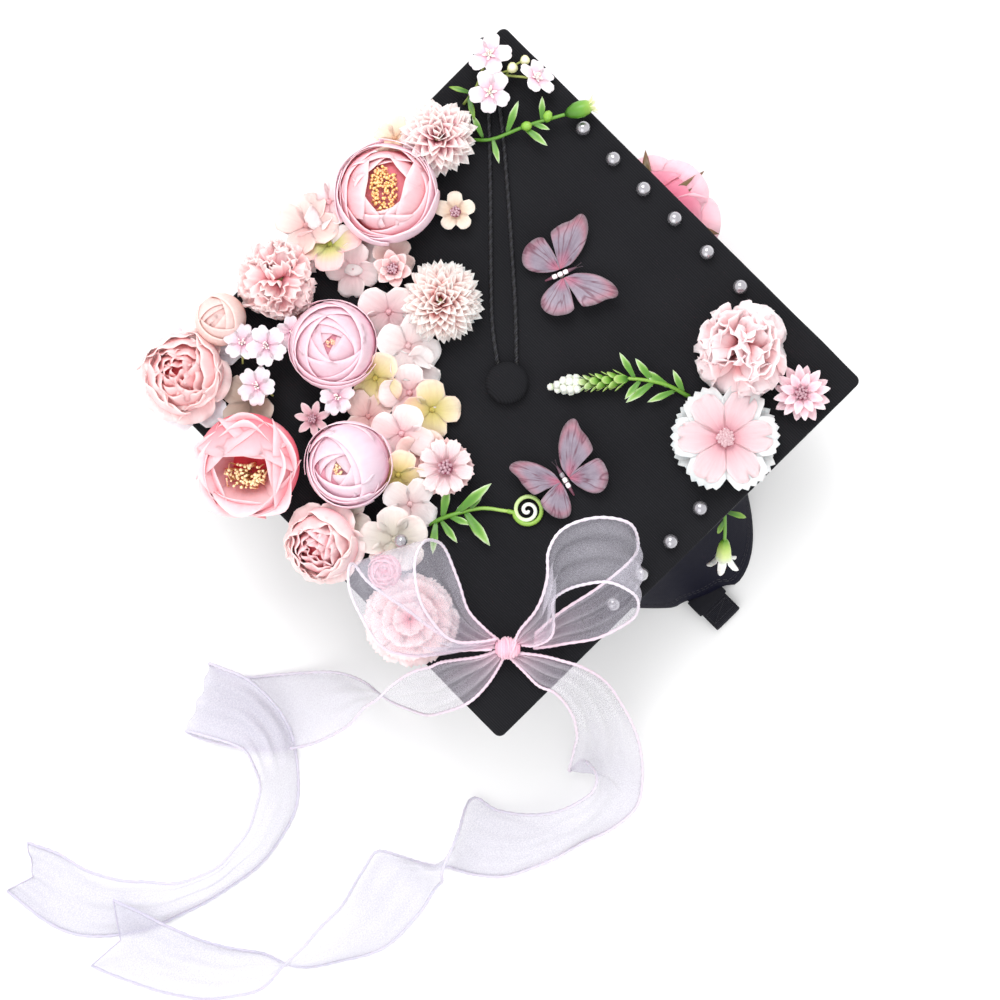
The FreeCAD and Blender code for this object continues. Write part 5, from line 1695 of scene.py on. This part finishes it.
def band(p, path, width, thick, tint):
    """Flat webbing swept along a path in the YZ plane, its width along X."""
    path = [Vector(q) for q in path]
    tangents = along_path(path)
    n = len(path) - 1

    def at(u, v):
        i = round(u * n)
        tangent = tangents[i]
        normal = Vector((1, 0, 0)).cross(tangent)
        x = width / 2 * squared(math.cos(TAU * v), 0.35)
        h = thick / 2 * squared(math.sin(TAU * v), 0.6)
        ends = 0.2 if i in (0, n) else 1.0
        return FLAT @ (path[i] + Vector((x, 0, 0)) + normal * h * ends), tint

    p.grid(n, 20, at, closed=True)


WEBBING_THICK = 1.4


def make_webbing(x, low, high):
    """Strap that runs out low, turns back at its end and returns on itself."""
    inner, outer = STRAP_LOW.y, STRAP_HIGH.y
    bend = (high - low) / 2
    turn = outer - bend - 0.7
    path = [(x, inner + (turn - inner) * i / 16, low + 0.06 * math.sin(i * 1.7)) for i in range(17)]
    for i in range(1, 6):
        a = math.pi * i / 6
        path.append((x, turn + bend * math.sin(a), low + bend - bend * math.cos(a)))
    path += [(x, turn - (outer - inner - 9.0) * i / 16, high + 0.05 * math.sin(i * 2.1)) for i in range(17)]
    p = Piece()
    band(p, path, STRAP_HIGH.x - STRAP_LOW.x, WEBBING_THICK, BLUE_BLACK)
    p.finish("adjuster_webbing", [WEBBING], "adjuster", ["adjuster_strap"], "webbing")


def make_strap_stitches(x, high):
    """Box of stitches with one diagonal across it, at the strap's end."""
    near, far, half = STRAP_HIGH.y - 9.5, STRAP_HIGH.y - 3.5, 6.6
    p = Piece()
    for y0, y1, x0, x1 in ((far, far, -half, half), (near, near, -half, half), (near, far, -half, -half),
                           (near, far, half, half), (near, far, -half, half)):
        a, b = Vector((x + x0, y0, high + 0.74)), Vector((x + x1, y1, high + 0.74))
        count = max(3, int((b - a).length / 1.5))
        for i in range(count):
            q0, q1 = a.lerp(b, (i + 0.12) / count), a.lerp(b, (i + 0.82) / count)
            tube(p, [q0, (q0 + q1) / 2 + Vector((0, 0, 0.05)), q1], 0.2, rgb(70, 70, 82), 4, FLAT)
    p.finish("adjuster_stitches", [STITCH_AND_HIGHLIGHT], "adjuster", (), "webbing")


def make_sleeve():
    """Keeper that the strap runs through, as a flat sleeve with rolled ends."""
    low, high = box_mm("adjuster_keeper")
    middle, half = (low + high) / 2, (high - low) / 2
    outer = ((low.y, -0.28), (low.y + 0.4, 0.0), (low.y + 3.2, 0.04), (high.y - 3.2, 0.04),
             (high.y - 0.4, 0.0), (high.y, -0.28))
    inner = ((high.y, 0.3), (high.y - 0.5, 0.05), (low.y + 0.5, 0.05), (low.y, 0.3))
    rings = [(half.x + grow, half.z + grow, y) for y, grow in outer]
    rings += [(half.x - 0.85 + grow * 0.5, half.z - 0.85 + grow * 0.5, y) for y, grow in inner]
    rings.append(rings[0])

    def at(u, v):
        wide, tall, y = rings[round(u * (len(rings) - 1))]
        x = middle.x + wide * squared(math.cos(TAU * v), 0.22)
        return FLAT @ Vector((x, y, middle.z + tall * squared(math.sin(TAU * v), 0.3))), BLUE_BLACK

    p = Piece()
    p.grid(len(rings) - 1, 40, at, closed=True)
    p.finish("adjuster_sleeve", [LINING], "cap", ["adjuster_keeper"], "webbing")


def make_adjuster():
    x = (STRAP_LOW.x + STRAP_HIGH.x) / 2
    low, high = STRAP_LOW.z + 0.72, STRAP_HIGH.z - 0.72
    make_webbing(x, low, high)
    make_strap_stitches(x, high)
    make_sleeve()


make_adjuster()


# ---------------------------------------------------------------- button

def make_button():
    """Cloth-covered button in the middle of the board."""
    low, high = box_mm("button")
    x, y, r = (low.x + high.x) / 2, (low.y + high.y) / 2, (high.x - low.x) / 2
    base = low.z
    p = Piece()
    profile = [(0.1, 2.5), (0.5 * r, 2.5), (0.88 * r, 2.6), (0.98 * r, 3.1), (1.0 * r, 3.8),
               (0.985 * r, 4.5), (0.94 * r, 5.15), (0.86 * r, 5.7), (0.74 * r, 6.15), (0.6 * r, 6.45),
               (0.4 * r, 6.7), (0.2 * r, 6.82), (0.01, 6.86)]

    def gathers(a, u):
        folds = 0.012 * math.sin(16 * a + 1.3 * math.sin(3 * a)) * smooth(0.5, 0.2, u)
        return folds + 0.004 * math.sin(5 * a) * (1 - u)

    lathe(p, spot(x, y, base), profile, BLACK, 72, gathers)
    lathe(p, spot(x, y, base), [(0.5 * r, 0.05), (0.46 * r, 1.0), (0.5 * r, 2.6)], BLACK, 24,
          lambda a, u: 0.05 * math.sin(12 * a))
    p.finish("button_cloth", [TWILL], "cap", ["button"], "board_cloth")


make_button()


# ---------------------------------------------------------------- tassel cords

STRAND = 0.0022
CORD_Z = 0.08365
LEFT_STRAND = [
    (-0.002, -0.003, CORD_Z), (-0.012, -0.0186, CORD_Z), (-0.033, -0.0405, CORD_Z),
    (-0.062, -0.070, CORD_Z), (-0.089, -0.0986, CORD_Z), (-0.1068, -0.1196, CORD_Z),
]
RIGHT_STRAND = [
    (-0.0076, 0.0024, CORD_Z), (-0.020, -0.0096, CORD_Z), (-0.043, -0.0356, CORD_Z),
    (-0.070, -0.067, CORD_Z), (-0.0945, -0.097, CORD_Z), (-0.1096, -0.119, CORD_Z),
]
HANGER = [(-0.108, -0.1216, 0.0829), (-0.108, -0.1225, 0.0786), (-0.108, -0.1227, 0.0714)]


def route(points):
    """Points along a NURBS spline that has the route's points as its control points."""
    curve = bpy.data.curves.new("route", "CURVE")
    curve.dimensions = "3D"
    spline = curve.splines.new("NURBS")
    spline.points.add(len(points) - 1)
    for point, place in zip(spline.points, points):
        point.co = (*place, 1.0)
    spline.order_u = 3
    spline.use_endpoint_u = True
    spline.resolution_u = 14
    holder = put_in_scene("route", curve)
    mesh = bpy.data.meshes.new_from_object(holder.evaluated_get(bpy.context.evaluated_depsgraph_get()))
    line = [v.co.copy() for v in mesh.vertices]
    bpy.data.objects.remove(holder)
    bpy.data.meshes.remove(mesh)
    return line


def spaced(line, step):
    """The same line in even steps."""
    result, left = [line[0].copy()], step
    for a, b in zip(line, line[1:]):
        run, done = (b - a).length, 0.0
        while run - done >= left:
            done += left
            result.append(a.lerp(b, done / run))
            left = step
        left -= run - done
    if (result[-1] - line[-1]).length > step * 0.3:
        result.append(line[-1].copy())
    return result


def twisted(p, line, diameter, lay, tint):
    """Three strands laid round a line, one turn in each lay; the first strand is a lighter thread, a painted
    highlight.
    """
    strands, steps = 3, 9
    line = spaced(line, lay / steps)
    r = diameter * 0.25
    tangents = along_path(line)
    normal = tangents[0].orthogonal().normalized()
    frames = []
    for tangent in tangents:
        normal = (normal - tangent * normal.dot(tangent)).normalized()
        frames.append((normal.copy(), tangent.cross(normal)))
    for k in range(strands):
        run = []
        # the first strand takes the piece's second material, a lighter thread: a painted highlight that dots each turn
        # of the twist
        p.kind = int(k == 0)
        for i, (point, (n, b)) in enumerate(zip(line, frames)):
            a = TAU * (i / steps + k / strands)
            run.append(point + (n * math.cos(a) + b * math.sin(a)) * (diameter / 2 - r))
        tube(p, run, r, tint)


def length_of(line):
    """Length along a line of points."""
    return sum((b - a).length for a, b in zip(line, line[1:]))


def make_tassel_head(x, y):
    """Knob of the tassel with seven turns of binding."""
    low, high = box_mm("tassel_head")
    r, tall = (high.x - low.x) / 2, high.z - low.z
    body = [(0.86, 0.0), (0.92, 0.1), (0.98, 0.2), (0.94, 0.3), (0.8, 0.38), (0.74, 0.42), (0.72, 0.5),
            (0.76, 0.6), (0.7, 0.75), (0.5, 0.9), (0.1, 1.0)]
    p = Piece()
    lathe(p, spot(x, y, low.z), [(r * a, tall * b) for a, b in body], CORD_BLACK, 48,
          lambda a, u: 0.03 * math.sin(24 * a))
    rise, parts = 0.75, 28
    for i in range(7):
        z = low.z + tall * 0.36 + i * rise
        ring = []
        for k in range(parts + 1):
            a = TAU * k / parts
            ring.append((x + r * 0.78 * math.cos(a), y + r * 0.78 * math.sin(a), z + rise * k / parts))
        tube(p, ring, 0.42, rgb(40, 40, 44), 6, FLAT, cap=False)
    p.finish("tassel_bound_head", [THREAD], "tassel", ["tassel_head"], "tassel_thread")


def make_tassel_skirt(x, y):
    """Skirt of loose threads that hang from the head."""
    low, high = box_mm("tassel_skirt")
    top_r, low_r, top_z, count = 4.6, (high.x - low.x) / 2 - 0.5, high.z + 0.8, 170
    p = Piece()
    rnd = random.Random("tassel")
    for i in range(count):
        share = math.sqrt((i + 0.5) / count)
        sway = rnd.uniform(-0.5, 0.5)
        end = low.z + 0.4 + rnd.uniform(0, 1.6)
        run = []
        for k in range(9):
            t = k / 8
            r = top_r * share + (low_r - top_r) * share * math.sin(math.pi / 2 * t)
            r += 0.25 * math.sin(5 * t + i)
            a = i * GOLDEN + 0.18 * sway * t + 0.05 * math.sin(3 * t + i)
            run.append((x + r * math.cos(a), y + r * math.sin(a), top_z + (end - top_z) * t))
        tube(p, run, 0.32, CORD_BLACK if i % 3 else rgb(44, 44, 49), 5, FLAT)
    p.finish("tassel_threads", [THREAD], "tassel", ["tassel_skirt"], "tassel_thread")


def make_strand(label, points):
    """Twisted cord from the button to the board's edge."""
    line = route(points)
    p = Piece()
    twisted(p, line, STRAND, 0.0046, CORD_BLACK)
    # second material: the lighter strand, a painted highlight
    strand = p.finish(f"tassel_strand_{label}", [THREAD, STITCH_AND_HIGHLIGHT], "cap", [f"tassel_cord_{label}"],
                      "tassel_thread")
    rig.cord(strand, exit=points[0], length=round(length_of(line), 3), diameter=STRAND, far_end="object",
            stiffness="limp", lay="loose", path=spaced(line, 0.002))


def make_tassel():
    x, y = HANGER[-1][0] * 1000, HANGER[-1][1] * 1000
    p = Piece()
    twisted(p, route(HANGER), 0.003, 0.0062, CORD_BLACK)
    # second material: the lighter strand, a painted highlight
    p.finish("tassel_hanger_cord", [THREAD, STITCH_AND_HIGHLIGHT], "tassel_cord", ["tassel_hanger"], "tassel_thread")
    make_tassel_head(x, y)
    make_tassel_skirt(x, y)
    make_strand("left", LEFT_STRAND)
    make_strand("right", RIGHT_STRAND)


make_tassel()


# ---------------------------------------------------------------- ribbon

RIBBON_WIDTH = 0.038

# stations of each ribbon in millimetres: a point on one edge, and the one across from it on the other edge
LEFT_TAIL = [
    ((90, 94, 91), (91, 90, 91)), ((96, 96, 87), (99, 86, 92)), ((105, 98, 85), (107, 80, 93)),
    ((117, 98, 86), (114, 75, 93)), ((128, 94, 76), (120, 73, 91)), ((140, 86, 54), (130, 68, 84)),
    ((148, 75, 40), (139, 66, 75)), ((152, 63, 30), (148, 65, 67)), ((155, 51, 18), (158, 64, 53)),
    ((161, 40, 9), (174, 63, 35)), ((172, 29, 3), (190, 58, 20)), ((185, 18, 1), (208, 48, 5)),
    ((199, 6, 1), (222, 35, 2)), ((206, -6, 2), (236, 14, 2)), ((206, -11, 8), (238, 6, 8)),
    ((202, -4, 14), (232, 14, 14)), ((196, 11, 14), (223, 31, 16)), ((197, 33, 9), (222, 42, 25)),
    ((207, 54, 3), (226, 53, 36)), ((223, 70, 1), (236, 60, 34)), ((245, 78, 1), (253, 67, 33)),
    ((273, 79, 1), (272, 66, 32)), ((297, 73, 1), (290, 58, 29)), ((323, 63, 1), (307, 43, 22)),
    ((343, 50, 1), (322, 24, 10)), ((357, 31, 1), (330, 5, 2)), ((363, -2, 1), (338, -12, 2)),
]
RIGHT_TAIL = [
    ((86, 96, 90), (89, 96, 90)), ((79, 105, 91), (89, 105, 87)), ((73, 114, 90), (89, 115, 86)),
    ((68, 124, 84), (86, 123, 85)), ((66, 137, 66), (87, 133, 74)), ((70, 153, 40), (93, 143, 54)),
    ((77, 169, 18), (102, 150, 30)), ((89, 184, 3), (113, 156, 9)), ((102, 193, 1), (104, 157, 13)),
    ((119, 192, 1), (104, 166, 22)), ((134, 187, 1), (112, 171, 25)), ((152, 181, 1), (124, 169, 22)),
    ((172, 173, 1), (140, 160, 12)), ((184, 161, 1), (153, 145, 4)), ((190, 151, 1), (158, 132, 7)),
    ((192, 147, 1), (174, 140, 32)), ((198, 140, 2), (190, 147, 36)), ((205, 127, 3), (195, 150, 28)),
    ((211, 117, 5), (204, 151, 9)), ((223, 119, 10), (218, 154, 2)), ((240, 124, 24), (242, 154, 1)),
    ((261, 124, 32), (268, 142, 1)), ((277, 125, 37), (284, 128, 1)), ((297, 125, 33), (291, 111, 1)),
    ((318, 112, 26), (305, 92, 3)), ((339, 90, 12), (314, 69, 9)), ((358, 56, 2), (323, 41, 15)),
]
LEFT_LOOP = [
    ((87, 87, 90), (90, 89, 91)), ((88, 79, 90), (99, 78, 95)), ((87, 67, 90), (104, 66, 100)),
    ((81, 54, 92), (107, 46, 106)), ((75, 41, 98), (110, 27, 109)), ((74, 34, 106), (109, 16, 112)),
    ((78, 32, 119), (111, 16, 120)), ((87, 36, 126), (117, 23, 124)), ((96, 47, 125), (122, 34, 122)),
    ((101, 59, 117), (126, 51, 114)), ((102, 71, 107), (120, 64, 105)), ((95, 80, 99), (107, 75, 98)),
    ((87, 86, 94), (92, 88, 95)),
]
RIGHT_LOOP = [
    ((82, 93, 95), (81, 96, 93)), ((76, 91, 99), (76, 101, 96)), ((64, 90, 110), (67, 103, 100)),
    ((50, 84, 124), (57, 94, 102)), ((40, 75, 130), (50, 93, 107)), ((28, 73, 131), (41, 96, 111)),
    ((13, 81, 127), (31, 104, 115)), ((5, 92, 118), (27, 114, 112)), ((8, 100, 105), (28, 122, 101)),
    ((18, 104, 96), (36, 124, 92)), ((38, 102, 94), (53, 119, 88)), ((57, 98, 94), (68, 109, 88)),
    ((73, 97, 91), (78, 101, 88)),
]

FLOOR_GAP = 0.0004
CORD_LIFT = Vector((0, 0, 0.0003))
VEE_STATIONS = 14
KNOT_PINK = rgb(240, 180, 204)
TAIL_CORD = tones("eecede e6dce8 d8d2e2 d2cede ccc7db")
LOOP_CORD = tones("eecede e6dce8 e6dce8 eecede")


def make_ribbon(name, node, stations, held, vee, phase):
    """Sheer ribbon between two edges. vee is the depth of the notch at a tail's end.

    Where the edges come closer than the ribbon is wide, the cloth between them stands in pleats."""
    pleats, across = 3, 40
    first = [q * 0.001 for q in curve_through([a for a, b in stations], 8)]
    second = [q * 0.001 for q in curve_through([b for a, b in stations], 8)]
    middle = [(a + b) / 2 for a, b in zip(first, second)]
    n = len(middle) - 1
    run = [0.0]
    for a, b in zip(middle, middle[1:]):
        run.append(run[-1] + (b - a).length)
    normals = []
    for i in range(n + 1):
        ahead = middle[min(i + 1, n)] - middle[max(i - 1, 0)]
        normals.append(ahead.cross(second[i] - first[i]).normalized())

    def place(i, v):
        a, b = first[i], second[i]
        width = (b - a).length
        short = max(0.0, min(3.2, (RIBBON_WIDTH / max(width, 0.003)) ** 2 - 1))
        tall = min(0.0021, width / (TAU * pleats) * math.sqrt(2 * short))
        rise = tall * math.sin(TAU * pleats * v + phase) * math.sin(math.pi * v) ** 0.3
        soft = 0.0006 * math.sin(run[i] * 95 + 3 * v + phase) + 0.0004 * math.sin(run[i] * 210 + 5 * v)
        point = a.lerp(b, v) + normals[i] * (rise + soft * smooth(0, 0.02, run[i]))
        if vee and i > n - VEE_STATIONS:
            back = vee * (1 - abs(2 * v - 1)) * smooth(n - VEE_STATIONS, n, i)
            point -= (middle[n] - middle[n - 6]).normalized() * back
        point.z = max(point.z, FLOOR_GAP)
        return point

    def near(i):
        """1 at the knot, falling off along the ribbon."""
        gap = run[i] if vee else min(run[i], run[-1] - run[i])
        return math.exp(-gap / 0.011)

    def dense(i):
        """How close the weave looks: most at the knot, and more again down a tail."""
        return near(i) + (0.4 * smooth(0.05, 0.13, run[i]) if vee else 0.0)

    def film_at(u, v):
        i = round(u * n)
        # painted light: a tail is lighter near the knot, to lift the shade that falls there, and darker towards its
        # far end, to hold back the full light on the floor; the loops keep one tint
        lilac_with_painted_light = mix(rgb(206, 201, 216), rgb(168, 164, 186), u if vee else 0.3)
        return place(i, v), mix(lilac_with_painted_light, KNOT_PINK, near(i))

    p = Piece()
    p.grid(n, across, film_at)
    p.petals = [(v, run[round(u * n)] / 0.4, dense(round(u * n))) for v, u, _ in p.petals]
    film = p.finish(name, [ORGANZA], "cap", [node], "organza")
    edge = Piece()
    radii = [0.00082 if i % 2 else 0.0006 for i in range(n + 1)]
    for v in (0.0, 1.0):
        tube(edge, [place(i, v) + CORD_LIFT for i in range(n + 1)], radii, TAIL_CORD if vee else LOOP_CORD, 8)
    if vee:
        tube(edge, [place(n, v / across) + CORD_LIFT for v in range(across + 1)], 0.00028,
             rgb(196, 190, 212), 5)
    cords = edge.finish(name + "_edges", [EDGING], "cap", (), "organza")
    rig.sheet(film, flat=(RIBBON_WIDTH, run[-1]), held=held, rests_on=["bow_wrap"], with_pieces=[cords])


make_ribbon("ribbon_left_tail", "ribbon_tail_left", LEFT_TAIL, "laid", 0.010, 0.4)
make_ribbon("ribbon_right_tail", "ribbon_tail_right", RIGHT_TAIL, "laid", 0.010, 1.1)
make_ribbon("ribbon_left_loop", "bow_loop_left", LEFT_LOOP, "gathered", 0.0, 2.0)
make_ribbon("ribbon_right_loop", "bow_loop_right", RIGHT_LOOP, "gathered", 0.0, 0.7)


def make_knot():
    """Ribbed wrap and two turns of ribbon that hold the bow."""
    low, high = box_mm("bow_knot")
    middle = (low + high) / 2
    M = along_axis(middle, (-1, 1, 0))
    p = Piece()
    ring = [(2.3 + 2.6 * (1 - abs(t / 5.8) ** 2.4) + 0.32 * math.cos(4.4 * t), t)
            for t in (-5.8 + 11.6 * i / 46 for i in range(47))]
    lathe(p, M, ring, tones("e6acbe f2cad7 ecbccc f3ceda e6acbe"), 60,
          lambda a, u: 0.07 * math.sin(2 * a + 5 * u) + 0.04 * math.sin(3 * a - 9 * u))
    for k, turn in enumerate((-0.5, 0.6)):
        run = []
        for i in range(25):
            a = TAU * i / 24
            run.append(Vector((4.9 * math.cos(a), 4.9 * math.sin(a), turn * 3.0 + 2.2 * math.sin(a + k))))
        tube(p, run, 0.55, tones("f3d4df ecc0ce f3d4df"), 8, M, cap=False)
    p.finish("bow_wrap", [KNOT], "cap", ["bow_knot"], "ribbon_knot")


make_knot()


# ---------------------------------------------------------------- floor, light and camera

FLOOR_HALF = 30.0
LAMPS = (("key", (-0.55, -0.75, 1.5), 0.9, 13.0), ("fill", (0.9, 0.5, 1.1), 1.2, 4.0))
LAMPS_AIM = Vector((0.05, 0.02, 0.05))
EYE = Vector((0.01563, 0.12198, 1.19912))
TARGET = Vector((0.04042, 0.03998, 0.0825))
UP_IN_VIEW = Vector((-1, -1, 0))
LENS = 85
ROLL = 0.0061


def make_floor():
    mesh = bpy.data.meshes.new("floor")
    corners = [(x * FLOOR_HALF, y * FLOOR_HALF, 0) for x, y in ((-1, -1), (1, -1), (1, 1), (-1, 1))]
    mesh.from_pydata(corners, [], [(0, 1, 2, 3)])
    floor = put_in_scene("floor", mesh)
    s = Shader("floor_paper", Roughness=0.9, Specular_IOR_Level=0.1)
    cloud = s.noise(s.place(), 3.0, 2.0)
    s.set("Base Color", s.blend(cloud, (0.87, 0.87, 0.875), (0.885, 0.885, 0.885)))
    mesh.materials.append(s.material)
    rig.stage(floor)


def make_light():
    """White studio all round, a soft key lamp and a weak fill."""
    world = bpy.data.worlds.new("studio")
    bpy.context.scene.world = world
    world.use_nodes = True
    background = world.node_tree.nodes["Background"]
    background.inputs["Color"].default_value = (1.0, 1.0, 1.0, 1)
    background.inputs["Strength"].default_value = 0.95
    for name, place, size, power in LAMPS:
        light = bpy.data.lights.new(name, "AREA")
        light.size = size
        light.energy = power
        lamp = put_in_scene(name, light)
        lamp.location = place
        lamp.rotation_mode = "QUATERNION"
        lamp.rotation_quaternion = (LAMPS_AIM - Vector(place)).to_track_quat("-Z", "Y")
    bpy.context.scene.view_settings.view_transform = "Standard"
    bpy.context.scene.view_settings.exposure = 0.3


def make_camera():
    data = bpy.data.cameras.new("camera")
    data.lens = LENS
    data.clip_start, data.clip_end = 0.05, 20
    camera = put_in_scene("camera", data)
    forward = (TARGET - EYE).normalized()
    right = forward.cross(UP_IN_VIEW.normalized()).normalized()
    up = right.cross(forward)
    c, s = math.cos(ROLL), math.sin(ROLL)
    right, up = right * c + up * s, up * c - right * s
    camera.matrix_world = Matrix.Translation(EYE) @ Matrix((right, up, -forward)).transposed().to_4x4()
    bpy.context.scene.camera = camera


make_floor()
make_light()
make_camera()

with open("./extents.json", "w") as f:
    json.dump({"cad": [list(c) for c in CAD_BOX], "visual": [list(c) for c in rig.bounds()]}, f)
